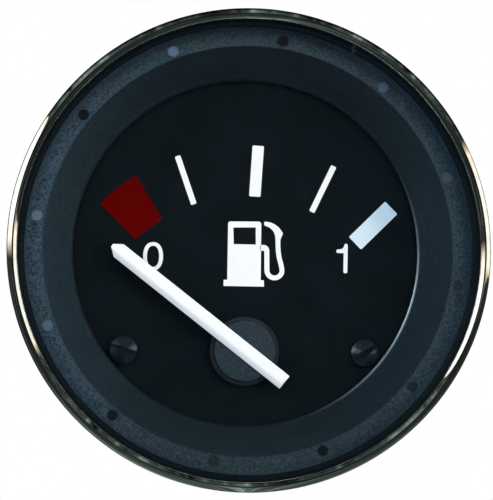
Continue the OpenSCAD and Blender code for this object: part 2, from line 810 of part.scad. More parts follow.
// Split spring washer under a thumb nut
module spring_washer(place) translate(place) difference() {
    out_r = stud_r + spring_washer_rim;
    ring(out_r, stud_r + stud_play, bridge_back - spring_washer_t, bridge_back);
    translate([0, -spring_split / 2, bridge_back - spring_washer_t - cut])
        cube([out_r + cut, spring_split, spring_washer_t + 2 * cut]);
}

module left_spring_washer() installed() color("silver") spring_washer(stud_places[0]);
module right_spring_washer() installed() color("silver") spring_washer(stud_places[1]);

// Thumb nut: fluted rim on a plain collar
module thumb_nut(place) translate(place) {
    flutes = 18;
    collar_h = 1;
    rim_front = thumb_nut_front - collar_h;
    rim_back = thumb_nut_front - thumb_nut_h;
    difference() {
        union() {
            rod(thumb_nut_r - 0.8, rim_front, thumb_nut_front);
            rod(thumb_nut_r, rim_back, rim_front);
        }
        rod(stud_r + thread_fit, rim_back - cut, thumb_nut_front + cut);
        for (i = [0:flutes - 1]) rotate(i * 360 / flutes) translate([thumb_nut_r + 0.25, 0, 0])
            rod(0.55, rim_back - cut, rim_front);
    }
}

module left_thumb_nut() installed() color("gold") thumb_nut(stud_places[0]);
module right_thumb_nut() installed() color("gold") thumb_nut(stud_places[1]);

// Lamp holder: plug, flange and grip, slotted for its contacts and the wedge of the bulb
module lamp_holder() installed() color("whitesmoke") translate(lamp_place) difference() {
    union() {
        rod(lamp_bore_r - lamp_fit, back_z, lamp_plug_top);
        rod(lamp_flange_r, back_z - lamp_flange_t, back_z);
        rod(lamp_flange_r - lamp_grip_inset, lamp_grip_end, back_z);
        block(2 * (lamp_flange_r - 1), lamp_grip_w, lamp_grip_end, back_z);
    }
    for (x = [-lamp_tab_x, lamp_tab_x]) translate([x, 0, 0]) block(
        lamp_tab_t + 2 * close_fit, lamp_tab_w + 2 * close_fit,
        lamp_grip_end - cut, lamp_plug_top + cut
    );
    block(
        wedge_w + 2 * close_fit, wedge_t + 2 * close_fit,
        lamp_plug_top - wedge_deep, lamp_plug_top + cut
    );
}

module lamp_contacts() installed() color("khaki") translate(lamp_place)
    for (x = [-lamp_tab_x, lamp_tab_x]) translate([x, 0, 0])
        block(lamp_tab_t, lamp_tab_w, lamp_tab_end, lamp_plug_top - 0.5);

// Bulb: glass tube with a round end, on a flat wedge
module bulb() installed() color("lightyellow", 0.5) translate(lamp_place) {
    top = lamp_plug_top + bulb_len - bulb_r;
    skin = 0.4;
    difference() {
        union() {
            rod(bulb_r, lamp_plug_top, top);
            intersection() {
                translate([0, 0, top]) sphere(bulb_r);
                rod(bulb_r + cut, top, top + bulb_r + cut);
            }
            block(wedge_w, wedge_t, lamp_plug_top - wedge_deep + 0.1, lamp_plug_top);
        }
        rod(bulb_r - skin, lamp_plug_top + 1, top);
        intersection() {
            translate([0, 0, top]) sphere(bulb_r - skin);
            rod(bulb_r, top - 0.01, top + bulb_r);
        }
    }
}

// Filament: a fine bar on two supports that stand on the floor of the bulb
module bulb_filament() installed() color("silver") translate(lamp_place) {
    wire_r = 0.12;
    span = 1.1;
    height = 8;
    base = lamp_plug_top + 1;
    for (x = [-span, span]) translate([x, 0, 0]) rod(wire_r, base, base + height);
    translate([0, 0, base + height]) rotate([0, 90, 0]) rod(wire_r, -span - wire_r, span + wire_r);
}

bezel();
lens();
lens_seal();
dial_surround();
case();
dial_plate();
scale_marks();
full_mark();
reserve_mark();
dial_screws();
movement_frame();
coil_former_front();
coil_former_rear();
inner_winding();
outer_winding();
magnetic_shield();
return_magnet();
frame_pillars();
circuit_board();
board_screws();
resistors();
mounting_studs();
board_nuts();
case_washers();
case_nuts();
supply_terminal();
sender_terminal();
ground_terminal();
needle();
pointer_hub();
spindle();
stop_arm();
disc_magnet();
mounting_bracket();
left_spring_washer();
right_spring_washer();
left_thumb_nut();
right_thumb_nut();
lamp_holder();
lamp_contacts();
bulb();
bulb_filament();
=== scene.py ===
"""Looks of a dashboard fuel gauge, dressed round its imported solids.

Sizes are bench millimetres: x to the right, y up the dial, z out of the dial, and z = 0 where the
bezel seats on the panel. installed() turns them to the frame, in metres, with the dial facing -Y.
"""

import logging
import math
from dataclasses import dataclass
from enum import Enum
from functools import cache
from typing import Callable, Iterable

import bpy
import numpy as np
from mathutils import Matrix


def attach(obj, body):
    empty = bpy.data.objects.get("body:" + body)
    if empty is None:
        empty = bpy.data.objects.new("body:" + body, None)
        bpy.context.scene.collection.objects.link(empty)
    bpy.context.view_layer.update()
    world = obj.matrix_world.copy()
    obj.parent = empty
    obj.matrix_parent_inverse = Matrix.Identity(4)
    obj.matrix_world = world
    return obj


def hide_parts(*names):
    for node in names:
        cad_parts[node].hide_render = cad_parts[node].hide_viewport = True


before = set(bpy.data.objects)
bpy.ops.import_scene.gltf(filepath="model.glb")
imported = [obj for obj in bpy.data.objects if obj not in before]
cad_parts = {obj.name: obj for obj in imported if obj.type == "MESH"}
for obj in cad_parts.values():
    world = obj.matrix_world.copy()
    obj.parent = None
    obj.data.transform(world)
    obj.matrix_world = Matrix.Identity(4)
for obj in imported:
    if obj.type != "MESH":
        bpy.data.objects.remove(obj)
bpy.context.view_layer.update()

Colour = tuple[float, float, float, float]
Pair = tuple[float, float]
Socket = bpy.types.NodeSocket

MM = 0.001
TAU = 2 * math.pi
SHARP = 32.0
PIVOT = (0.0, -12.3)
log = logging.getLogger("gauge")


class Body(Enum):
    """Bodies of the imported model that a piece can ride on."""

    CASE = "case"
    POINTER = "pointer"
    BRACKET = "bracket"
    LEFT_NUT = "left_nut"
    RIGHT_NUT = "right_nut"
    LAMP = "lamp"


def linear(red: float, green: float, blue: float) -> Colour:
    """Gives the linear colour of an eight-bit screen colour.

    Args:
        red: Red, from 0 to 255.
        green: Green, from 0 to 255.
        blue: Blue, from 0 to 255.

    Returns:
        Red, green, blue and an alpha of 1, for a shader's socket.
    """
    c = np.array([red, green, blue]) / 255
    low, high = c / 12.92, ((c + 0.055) / 1.055) ** 2.4
    return (*np.where(c <= 0.04045, low, high).tolist(), 1.0)


def installed(points: np.ndarray) -> np.ndarray:
    """Turns bench millimetres to frame metres: (x, y, z) goes to (x, -z, y).

    Args:
        points: Array whose last axis holds x, y and z.

    Returns:
        An array of the same shape, in metres.
    """
    return np.stack([points[..., 0], -points[..., 2], points[..., 1]], axis=-1) * MM


def smoothstep(low: float, high: float, value: np.ndarray) -> np.ndarray:
    """Rises from 0 at low to 1 at high along 3 t^2 - 2 t^3."""
    t = np.clip((value - low) / (high - low), 0, 1)
    return t * t * (3 - 2 * t)


def arc(centre: Pair, radius: float, start: float, end: float, steps: int) -> np.ndarray:
    """Points of a circular arc, centre + radius (cos a, sin a).

    Args:
        centre: Middle of the circle.
        radius: Radius.
        start: First angle, in degrees.
        end: Last angle, in degrees.
        steps: Number of points, both ends included.

    Returns:
        Array of shape (steps, 2).
    """
    a = np.radians(np.linspace(start, end, steps))
    return np.stack([centre[0] + radius * np.cos(a), centre[1] + radius * np.sin(a)], axis=-1)


def rounded(corners: Iterable[tuple[float, float, float]], steps: int = 4) -> np.ndarray:
    """Closed outline with an arc at each corner.

    An arc of radius r leaves each side r / tan(half the corner's angle) from the corner, about a
    centre on the bisector, r / sin(half the angle) away.

    Args:
        corners: Corners in order, each as x, y and the radius of its arc.
        steps: Segments in each arc.

    Returns:
        Array of shape (corners * (steps + 1), 2).
    """
    data = np.array(list(corners), float)
    p, r = data[:, :2], data[:, 2:]
    u, v = np.roll(p, 1, 0) - p, np.roll(p, -1, 0) - p
    u, v = (w / np.linalg.norm(w, axis=1, keepdims=True) for w in (u, v))
    half = np.arccos(np.clip((u * v).sum(1, keepdims=True), -1, 1)) / 2
    bisector = u + v
    bisector /= np.maximum(np.linalg.norm(bisector, axis=1, keepdims=True), 1e-9)
    centre = p + bisector * r / np.sin(half)
    leave, arrive = (p + w * r / np.tan(half) - centre for w in (u, v))
    start = np.arctan2(leave[:, 1], leave[:, 0])[:, None]
    turn = (np.arctan2(arrive[:, 1], arrive[:, 0])[:, None] - start + math.pi) % TAU - math.pi
    a = start + turn * np.linspace(0, 1, steps + 1)
    points = centre[:, None] + r[:, None] * np.stack([np.cos(a), np.sin(a)], axis=-1)
    return points.reshape(-1, 2)


@dataclass
class Shell:
    """One closed skin.

    Args:
        points: Bench millimetres, shape (n, 3).
        faces: Arrays of point numbers, one row for each face.
    """

    points: np.ndarray
    faces: list[np.ndarray]

    def welded(self) -> "Shell":
        """Joins points at one place, and drops the sides and faces that this leaves without length.

        Returns:
            The cleaner skin.
        """
        _, first, index = np.unique(
            np.round(self.points, 4), axis=0, return_index=True, return_inverse=True
        )
        index = index.reshape(-1)
        faces = []
        for rows in self.faces:
            rows = index[rows]
            kept = rows != np.roll(rows, -1, axis=1)
            sides = kept.sum(1)
            for n in range(3, rows.shape[1] + 1):
                chosen = sides == n
                if chosen.any():
                    faces.append(rows[chosen][kept[chosen]].reshape(-1, n))
        return Shell(self.points[first], faces)

    def outward(self) -> "Shell":
        """Turns the faces round if the volume under them comes out negative.

        Returns:
            The skin with its faces outwards.
        """
        volume = 0.0
        p = self.points - self.points.mean(0)
        for rows in self.faces:
            for i in range(1, rows.shape[1] - 1):
                a, b, c = p[rows[:, 0]], p[rows[:, i]], p[rows[:, i + 1]]
                volume += float(np.einsum("ij,ij->", a, np.cross(b, c)))
        return self if volume >= 0 else Shell(self.points, [rows[:, ::-1] for rows in self.faces])

    def turned(self, angle: float, centre: Pair) -> "Shell":
        """Turns the skin about an upright axis.

        Args:
            angle: Degrees, anticlockwise as seen from the front.
            centre: Place of the axis, and of the skin's own origin.

        Returns:
            The turned skin.
        """
        c, s = math.cos(math.radians(angle)), math.sin(math.radians(angle))
        x, y, z = self.points.T
        return Shell(np.stack([centre[0] + c * x - s * y, centre[1] + s * x + c * y, z], -1), self.faces)


def grid(points: np.ndarray, wrap_rows: bool = True, wrap_columns: bool = True) -> Shell:
    """Quads between neighbouring points of a grid.

    Args:
        points: Array of shape (rows, columns, 3).
        wrap_rows: Whether the last row meets the first.
        wrap_columns: Whether the last column meets the first.

    Returns:
        The skin.
    """
    rows, columns = points.shape[:2]
    number = np.arange(rows * columns).reshape(rows, columns)
    i = number if wrap_rows else number[:-1]
    j = np.roll(number, -1, 0) if wrap_rows else number[1:]
    quads = np.stack([i, j, np.roll(j, -1, 1), np.roll(i, -1, 1)], axis=-1)
    if not wrap_columns:
        quads = quads[:, :-1]
    return Shell(points.reshape(-1, 3), [quads.reshape(-1, 4)])


def round_steps(count: int) -> np.ndarray:
    """Angles of equal steps round a full turn, as a column."""
    return np.linspace(0, TAU, count, endpoint=False)[:, None]


def upright(t: np.ndarray, r: np.ndarray, h: np.ndarray, centre: Pair = (0.0, 0.0)) -> np.ndarray:
    """Points about an upright axis: at angle t they stand at centre + r (cos t, sin t), h.

    Args:
        t: Angles, in radians.
        r: Radii.
        h: Heights.
        centre: Place of the axis.

    Returns:
        Array whose last axis holds x, y and z.
    """
    x, y = centre[0] + r * np.cos(t), centre[1] + r * np.sin(t)
    return np.stack(np.broadcast_arrays(x, y, h), axis=-1)


def lathe(profile: np.ndarray, turns: int, centre: Pair = (0.0, 0.0)) -> Shell:
    """Turns a closed profile about an upright axis.

    Args:
        profile: Closed loop of radius and height, shape (n, 2).
        turns: Steps round the axis.
        centre: Place of the axis.

    Returns:
        The skin.
    """
    return grid(upright(round_steps(turns), profile[:, 0], profile[:, 1], centre))


def layers(*rings: tuple[np.ndarray, float]) -> np.ndarray:
    """Stacks outlines, each at its own height, as the rows of a grid."""
    return np.stack([np.column_stack([outline, np.full(len(outline), z)]) for outline, z in rings])


def slab(outline: np.ndarray, foot: float, top: float) -> Shell:
    """Flat piece with a given outline.

    Args:
        outline: Outline in order, shape (n, 2).
        foot: Height of its underside.
        top: Height of its face.

    Returns:
        The skin.
    """
    outline = outline[np.linalg.norm(outline - np.roll(outline, 1, 0), axis=1) > 1e-5]
    skin = grid(layers((outline, foot), (outline, top)), wrap_rows=False)
    number = np.arange(len(outline))
    return Shell(skin.points, skin.faces + [np.stack([number[::-1], number + len(outline)])])


def band(outer: np.ndarray, inner: np.ndarray, foot: float, top: float) -> Shell:
    """Flat ring between two outlines of as many points.

    Args:
        outer: Outer outline, shape (n, 2).
        inner: Inner outline, shape (n, 2).
        foot: Height of its underside.
        top: Height of its face.

    Returns:
        The skin.
    """
    return grid(layers((outer, foot), (outer, top), (inner, top), (inner, foot)))


def ribbon(path: np.ndarray, width: np.ndarray, foot: float, top: float, head: np.ndarray) -> Shell:
    """Flat stripe along a path, half its width to either side of each point, with a head at its end.

    Args:
        path: Points along the middle, shape (n, 2).
        width: Width at each point.
        foot: Height of its underside.
        top: Height of its face.
        head: Outline of the head, from the left side of the path's end to its right side.

    Returns:
        The skin.
    """
    along = np.gradient(path, axis=0)
    along /= np.linalg.norm(along, axis=1, keepdims=True)
    across = np.stack([-along[:, 1], along[:, 0]], -1) * (width / 2)[:, None]
    return slab(np.concatenate([path + across, head, (path - across)[::-1]]), foot, top)


class Graph:
    """Adds nodes to one tree and joins them."""

    def __init__(self, tree: bpy.types.NodeTree) -> None:
        """Keeps the tree of a material, a world or a group."""
        self.tree = tree

    def add(self, kind: str, inputs: dict | None = None, **settings: object) -> bpy.types.Node:
        """Adds a node.

        Args:
            kind: Node type without its ShaderNode prefix.
            inputs: Constants or sockets, by the input's name or number.
            settings: Properties of the node.

        Returns:
            The node.
        """
        node = self.tree.nodes.new(kind if kind.startswith("Node") else "ShaderNode" + kind)
        for name, value in settings.items():
            setattr(node, name, value)
        for key, value in (inputs or {}).items():
            if isinstance(value, bpy.types.NodeSocket):
                self.tree.links.new(value, node.inputs[key])
            else:
                node.inputs[key].default_value = value
        return node

    def math(self, operation: str, *values: object) -> Socket:
        """Joins up to three numbers by one operation and gives the result's socket."""
        return self.add("Math", dict(enumerate(values)), operation=operation).outputs[0]

    def mix(self, mask: Socket, low: object, high: object) -> Socket:
        """Mixes two colours by a mask and gives the result's socket."""
        return self.add("Mix", {0: mask, 6: low, 7: high}, data_type="RGBA").outputs[2]

    def range(self, value: Socket, low: object, high: object, to_low: float = 0.0,
              to_high: float = 1.0) -> Socket:
        """Maps a value from one range to another, smoothly, and gives the result's socket."""
        inputs = {"Value": value, "From Min": low, "From Max": high, "To Min": to_low, "To Max": to_high}
        return self.add("MapRange", inputs, interpolation_type="SMOOTHSTEP").outputs[0]

    def attribute(self, name: str) -> Socket:
        """Reads a number that the piece holds at its points."""
        return self.add("Attribute", attribute_name=name).outputs["Fac"]

    def bump(self, height: Socket, depth: float, **inputs: object) -> Socket:
        """Turns a height into a normal, for a depth in millimetres."""
        return self.add("Bump", {"Height": height, "Distance": depth * MM, **inputs}).outputs[0]

    def patina(self, where: Socket, rough: Pair, scale: float = 150.0) -> tuple[Socket, Socket]:
        """Places the patina between two roughnesses, and gives its value and its mask.

        Args:
            where: Coordinates of the surface.
            rough: Least and greatest roughness.
            scale: Scale of the patches.

        Returns:
            Sockets of the roughness and the mask.
        """
        inputs = {"Vector": where, "Scale": scale, "Low": rough[0], "High": rough[1]}
        node = self.add("Group", inputs, node_tree=Effects.patina())
        return node.outputs["Value"], node.outputs["Mask"]

    def looked_at(self) -> Socket:
        """Gives 1 to camera, glossy and transmission rays, and 0 to all others.

        Returns:
            The mask's socket.
        """
        path = self.add("LightPath")
        seen = self.math("MAXIMUM", path.outputs["Is Camera Ray"], path.outputs["Is Glossy Ray"])
        return self.math("MAXIMUM", seen, path.outputs["Is Transmission Ray"])


def blank(owner: bpy.types.Material | bpy.types.World) -> Graph:
    """Clears the nodes of a material or a world, and gives its graph.

    Args:
        owner: The material or world.

    Returns:
        Its graph.
    """
    owner.use_nodes = True
    owner.node_tree.nodes.clear()
    return Graph(owner.node_tree)


def new_group(name: str, numbers: dict[str, float], *results: str) -> tuple[
        Graph, bpy.types.bpy_prop_collection]:
    """Starts a shader node group that reads a place and some numbers, and gives numbers.

    Args:
        name: Name of the group.
        numbers: First value of each number that it reads.
        results: Names of the numbers that it gives.

    Returns:
        The group's graph, and the sockets of what it reads.
    """
    tree = bpy.data.node_groups.new(name, "ShaderNodeTree")
    tree.interface.new_socket("Vector", in_out="INPUT", socket_type="NodeSocketVector")
    for key, value in numbers.items():
        tree.interface.new_socket(key, in_out="INPUT", socket_type="NodeSocketFloat").default_value = value
    for key in results:
        tree.interface.new_socket(key, in_out="OUTPUT", socket_type="NodeSocketFloat")
    graph = Graph(tree)
    return graph, graph.add("NodeGroupInput").outputs


class Effects:
    """Shared node groups, each built once."""

    @staticmethod
    @cache
    def grain() -> bpy.types.NodeTree:
        """Spark-eroded grain: pits and specks at two sizes.

        Returns:
            A group with Height for a bump, and Speck, the mask of the raised specks.
        """
        g, source = new_group("mould_grain", {"Scale": 2500.0, "From": 0.48, "To": 0.74}, "Height", "Speck")
        where, scale = source["Vector"], source["Scale"]
        coarse = g.add("TexNoise", {"Vector": where, "Scale": scale, "Detail": 3.0, "Roughness": 0.65})
        fine = g.add("TexVoronoi", {"Vector": where, "Scale": g.math("MULTIPLY", scale, 0.8)},
                     feature="SMOOTH_F1")
        height = g.math("ADD", coarse.outputs["Fac"], g.math("MULTIPLY", fine.outputs["Distance"], 0.6))
        speck = g.range(coarse.outputs["Fac"], source["From"], source["To"])
        g.add("NodeGroupOutput", {"Height": height, "Speck": speck})
        return g.tree

    @staticmethod
    @cache
    def patina() -> bpy.types.NodeTree:
        """Slow change over a surface between two values, for roughness and tone.

        Returns:
            A group with Value between Low and High, and Mask from 0 to 1.
        """
        g, source = new_group("patina", {"Scale": 150.0, "Low": 0.2, "High": 0.4}, "Value", "Mask")
        noise = g.add("TexNoise", {"Vector": source["Vector"], "Scale": source["Scale"],
                                   "Detail": 4.0, "Roughness": 0.6})
        mask = g.range(noise.outputs["Fac"], 0.3, 0.7)
        span = g.math("SUBTRACT", source["High"], source["Low"])
        g.add("NodeGroupOutput", {"Value": g.math("MULTIPLY_ADD", mask, span, source["Low"]), "Mask": mask})
        return g.tree

    @staticmethod
    @cache
    def turning() -> bpy.types.NodeTree:
        """Fine rings left by a lathe tool, about the Y axis of the coordinates that come in.

        Returns:
            A group with Height for a bump.
        """
        g, source = new_group("turning_rings", {"Scale": 3000.0}, "Height")
        parts = g.add("SeparateXYZ", {0: source["Vector"]})
        flat = g.add("CombineXYZ", {"X": parts.outputs["X"], "Y": parts.outputs["Z"]})
        radius = g.add("VectorMath", {0: flat.outputs[0]}, operation="LENGTH").outputs["Value"]
        along = g.math("ADD", radius, parts.outputs["Y"])
        noise = g.add("TexNoise", {"W": along, "Scale": source["Scale"], "Detail": 2.0},
                      noise_dimensions="1D")
        g.add("NodeGroupOutput", {"Height": noise.outputs["Fac"]})
        return g.tree


@dataclass(frozen=True)
class Finish:
    """A finish, which becomes one material.

    Args:
        name: Name of the finish.
        colour: Main colour.
        second: Colour of the other tone, which specks and patches show.
        rough: Lowest and highest roughness.
    """

    name: str
    colour: Colour
    second: Colour
    rough: Pair = (0.3, 0.5)

    @property
    def slot(self) -> str:
        """The record's material slot of this name. Turned steel shares the plated steel's."""
        return {"turned_steel": "plated_steel"}.get(self.name, self.name)

    @cache
    def material(self) -> bpy.types.Material:
        """Gives the finish's material, built at its first use.

        Returns:
            The material.
        """
        material = bpy.data.materials.new("finish_" + self.name)
        graph = blank(material)
        shader = self.shade(graph, graph.add("TexCoord").outputs["Object"])
        graph.add("OutputMaterial", {"Surface": shader})
        return material

    def shade(self, graph: Graph, where: Socket) -> Socket:
        """Draws the finish's nodes.

        Args:
            graph: Graph of the material.
            where: Object coordinates.

        Returns:
            The shader's socket.
        """
        raise NotImplementedError

    def dress(self, *pieces: bpy.types.Object) -> None:
        """Gives pieces this finish.

        Args:
            pieces: Objects to dress.
        """
        for made in pieces:
            if not made.material_slots:
                made.data.materials.append(None)
            for holder in made.material_slots:
                holder.material = self.material()


@dataclass(frozen=True)
class Moulding(Finish):
    """Moulded plastic or rubber, with a grain.

    Args:
        grain: Size of the grain, in millimetres.
        depth: Depth of the grain, in millimetres.
        shine: Specular level.
        flash_and_shade: Colour where the piece's flash_and_shade attribute is 1: the moulding flash on the
            seal, and painted shade on the hub's rim.
        sheen: Tint of the sheen.
    """

    grain: float = 0.4
    depth: float = 0.01
    shine: float = 0.5
    flash_and_shade: Colour = linear(50, 68, 76)
    sheen: Colour = (1.0, 1.0, 1.0, 1.0)

    def shade(self, graph: Graph, where: Socket) -> Socket:
        """Draws speckled plastic: its colour and bump follow the grain, its roughness the patina.

        Args:
            graph: Graph of the material.
            where: Object coordinates.

        Returns:
            The shader's socket.
        """
        scale = 1 / (self.grain * MM)
        grain = graph.add("Group", {"Vector": where, "Scale": scale}, node_tree=Effects.grain()).outputs
        colour = graph.mix(grain["Speck"], self.colour, self.second)
        # The flash attribute mixes in the flash colour: moulding flash on the seal, and painted shade on the
        # hub's rim.
        return graph.add("BsdfPrincipled", {
            "Base Color": graph.mix(graph.attribute("flash_and_shade"), colour, self.flash_and_shade),
            "Roughness": graph.patina(where, self.rough)[0],
            "Normal": graph.bump(grain["Height"], self.depth),
            "Specular IOR Level": self.shine, "Specular Tint": self.sheen}).outputs[0]


@dataclass(frozen=True)
class Paint(Finish):
    """Flat paint or printed ink: even, with a faint mottle.

    Args:
        mottle: Size of the mottle, in millimetres.
        shine: Specular level.
        peel: Scale of the orange peel, and its depth in millimetres.
    """

    mottle: float = 2.0
    shine: float = 0.4
    peel: Pair = (9000.0, 0.002)

    def tone(self, graph: Graph, where: Socket, mottle: Socket) -> Socket:
        """Gives the mask between the two colours, which is the mottle."""
        return mottle

    def shade(self, graph: Graph, where: Socket) -> Socket:
        """Draws paint: a slow mottle in colour and roughness, and a fine orange peel.

        Args:
            graph: Graph of the material.
            where: Object coordinates.

        Returns:
            The shader's socket.
        """
        rough, mottle = graph.patina(where, self.rough, 1 / (self.mottle * MM))
        peel = graph.add("TexNoise", {"Vector": where, "Scale": self.peel[0], "Detail": 2.0})
        return graph.add("BsdfPrincipled", {
            "Base Color": graph.mix(self.tone(graph, where, mottle), self.colour, self.second),
            "Roughness": rough, "Normal": graph.bump(peel.outputs["Fac"], self.peel[1]),
            "Specular IOR Level": self.shine}).outputs[0]


@dataclass(frozen=True)
class InkWithPaintedShade(Paint):
    """Printed ink with painted shade: it turns slowly from its own colour to a darker one along a slanting
    line, standing in for a soft shadow across the mark.

    Args:
        span: Sum of x and z over root two where the first colour ends and the second is reached, in mm.
        parts: What the mottle and the painted shade add to the mask.
    """

    span: Pair = (0.0, 1.0)
    parts: Pair = (0.15, 0.85)

    def tone(self, graph: Graph, where: Socket, mottle: Socket) -> Socket:
        """Gives the mask between the two colours: the painted shade, with a share of the mottle in it.

        Args:
            graph: Graph of the material.
            where: Object coordinates.
            mottle: Mask of the mottle.

        Returns:
            The mask's socket.
        """
        slant = graph.add("VectorMath", {0: where, 1: (0.7071, 0.0, 0.7071)}, operation="DOT_PRODUCT")
        painted_shade = graph.range(slant.outputs["Value"], self.span[0] * MM, self.span[1] * MM)
        return graph.math("MULTIPLY_ADD", mottle, self.parts[0], graph.math("MULTIPLY", painted_shade, self.parts[1]))


@dataclass(frozen=True)
class Metal(Finish):
    """Bare or plated metal.

    Args:
        rings: Depth of the lathe rings, in millimetres, or 0 for none.
        dent: Depth of the slow ripples, in millimetres.
        patch: Scale of the dulled patches.
        ripple: Scale of the ripples.
    """

    rings: float = 0.0
    dent: float = 0.002
    patch: float = 700.0
    ripple: float = 450.0

    def shade(self, graph: Graph, where: Socket) -> Socket:
        """Draws metal: patches of dulled plate, slow ripples, and lathe rings where it was turned.

        Args:
            graph: Graph of the material.
            where: Object coordinates.

        Returns:
            The shader's socket.
        """
        rough, patches = graph.patina(where, self.rough, self.patch)
        ripple = graph.add("TexNoise", {"Vector": where, "Scale": self.ripple, "Detail": 3.0})
        normal = graph.bump(ripple.outputs["Fac"], self.dent)
        if self.rings:
            rings = graph.add("Group", {"Vector": where}, node_tree=Effects.turning())
            normal = graph.bump(rings.outputs["Height"], self.rings, Normal=normal)
        return graph.add("BsdfPrincipled", {
            "Base Color": graph.mix(patches, self.colour, self.second),
            "Metallic": 1.0, "Roughness": rough, "Normal": normal}).outputs[0]


@dataclass(frozen=True)
class ClearGlass(Finish):
    """Clear glass that lets the lamps' light through.

    Args:
        bend: Index of refraction.
        smear: Scale of the smears.
    """

    bend: float = 1.45
    smear: float = 60.0

    def shade(self, graph: Graph, where: Socket) -> Socket:
        """Draws glass with faint smears in its roughness, clear to lamps and to light off the dial.

        Args:
            graph: Graph of the material.
            where: Object coordinates.

        Returns:
            The shader's socket.
        """
        rough, smears = graph.patina(where, self.rough, self.smear)
        glass = graph.add("BsdfPrincipled", {
            "Base Color": graph.mix(smears, self.colour, self.second),
            "Roughness": rough, "IOR": self.bend, "Transmission Weight": 1.0})
        path = graph.add("LightPath")
        through = graph.math("MAXIMUM", path.outputs["Is Shadow Ray"], path.outputs["Is Diffuse Ray"])
        clear = graph.add("BsdfTransparent")
        return graph.add("MixShader", {0: through, 1: glass.outputs[0], 2: clear.outputs[0]}).outputs[0]


@dataclass(frozen=True)
class Land(Finish):
    """Textured plastic of the surround, whose moulding marks have tones of their own.

    Args:
        pale: Colour of the pale marks.
        dark: Colour of the dark marks.
        painted_sheen: Colour of the painted sheen that lightens the land on either side, where the side lamps
            fall.
        land: Colour of the land between its specks.
        lip: Tint of the painted highlight on the lip at the cone's foot.
        grain: Scale of the grain, and the range in which its specks rise.
        patch: Scale of the dull patches.
        left: Where the painted sheen begins and is full on the left, in metres, and its least and most.
        right: The same on the right.
        speck: What the land adds to the specks, and what the cone has of them.
        painted_sheen_share: What the land adds to the painted sheen, and what the cone has of it.
        relief: What the land adds to the grain's strength, and what the cone has of it.
        depth: Depth of the grain, in millimetres.
        painted_highlight: How metallic the lip gets where its painted highlight lies, and what that adds to
            its roughness.
        shine: Specular level.
    """

    pale: Colour = linear(92, 116, 136)
    dark: Colour = linear(10, 19, 25)
    # Painted sheen colour, which lightens the land's sides where the side lamps fall.
    painted_sheen: Colour = linear(72, 100, 122)
    land: Colour = linear(26, 38, 45)
    # Bluish metallic tint of the lip's painted highlight.
    lip: Colour = (0.5, 0.66, 0.78, 1.0)
    grain: tuple[float, float, float] = (3600.0, 0.28, 0.8)
    patch: float = 220.0
    left: tuple[float, ...] = (-0.008, -0.027, 0.0, 0.72)
    right: tuple[float, ...] = (0.012, 0.028, 0.0, 0.38)
    speck: Pair = (0.6, 0.3)
    painted_sheen_share: Pair = (0.72, 0.28)
    relief: Pair = (0.7, 0.15)
    depth: float = 0.02
    painted_highlight: Pair = (0.9, -0.38)
    shine: float = 0.25

    def shade(self, graph: Graph, where: Socket) -> Socket:
        """Draws the land's specks, the finer grain of the cone, the marks' tones by attribute, a painted sheen
        on either side, and the lip's painted highlight.

        Args:
            graph: Graph of the material.
            where: Object coordinates.

        Returns:
            The shader's socket.
        """
        inputs = {"Vector": where, "Scale": self.grain[0], "From": self.grain[1], "To": self.grain[2]}
        grain = graph.add("Group", inputs, node_tree=Effects.grain()).outputs
        land, tone = graph.attribute("land"), graph.attribute("tone")
        specks = graph.math("MULTIPLY", grain["Speck"], graph.math("MULTIPLY_ADD", land, *self.speck))
        colour = graph.mix(specks, graph.mix(land, self.colour, self.land), self.second)
        # Painted sheen: the land's specks, and less so the cone's, lighten towards the left and right,
        # standing in for light from the side lamps.
        across = graph.add("SeparateXYZ", {0: where}).outputs["X"]
        painted_sheen_mask = graph.math("MAXIMUM", graph.range(across, *self.left), graph.range(across, *self.right))
        painted_sheen_mask = graph.math("MULTIPLY", painted_sheen_mask, graph.math("MULTIPLY_ADD", land, *self.painted_sheen_share))
        colour = graph.mix(graph.math("MULTIPLY", painted_sheen_mask, grain["Speck"]), colour, self.painted_sheen)
        colour = graph.mix(graph.range(tone, 0.0, 1.0), colour, self.pale)
        colour = graph.mix(graph.range(tone, 0.0, -1.0), colour, self.dark)
        # Painted highlight: the lip turns metallic and bluish only at its lower right, so that it mirrors the
        # left card there alone.
        lip = graph.math("MULTIPLY", graph.attribute("lip"), self.painted_highlight[0])
        strength = graph.math("MULTIPLY_ADD", land, *self.relief)
        rough, _ = graph.patina(where, self.rough, self.patch)
        return graph.add("BsdfPrincipled", {
            "Base Color": graph.mix(lip, colour, self.lip),
            "Normal": graph.bump(grain["Height"], self.depth, Strength=strength),
            "Roughness": graph.math("MULTIPLY_ADD", lip, self.painted_highlight[1], rough),
            "Specular IOR Level": self.shine, "Metallic": lip}).outputs[0]


@dataclass(frozen=True)
class Laminate(Finish):
    """Glass-cloth board with a woven look.

    Args:
        thread: Scale of the threads.
        depth: Depth of the weave, in millimetres.
        coat: Weight of the clear coat.
    """

    thread: float = 500.0
    depth: float = 0.01
    coat: float = 0.3

    def shade(self, graph: Graph, where: Socket) -> Socket:
        """Draws crossing threads as two waves at right angles over the resin's own tone.

        Args:
            graph: Graph of the material.
            where: Object coordinates.

        Returns:
            The shader's socket.
        """
        inputs = {"Vector": where, "Scale": self.thread, "Distortion": 1.0}
        warp, weft = (graph.add("TexWave", inputs, bands_direction=way).outputs["Fac"] for way in "XZ")
        weave = graph.math("MULTIPLY", warp, weft)
        return graph.add("BsdfPrincipled", {
            "Base Color": graph.mix(weave, self.colour, self.second), "Coat Weight": self.coat,
            "Roughness": graph.patina(where, self.rough)[0],
            "Normal": graph.bump(weave, self.depth)}).outputs[0]


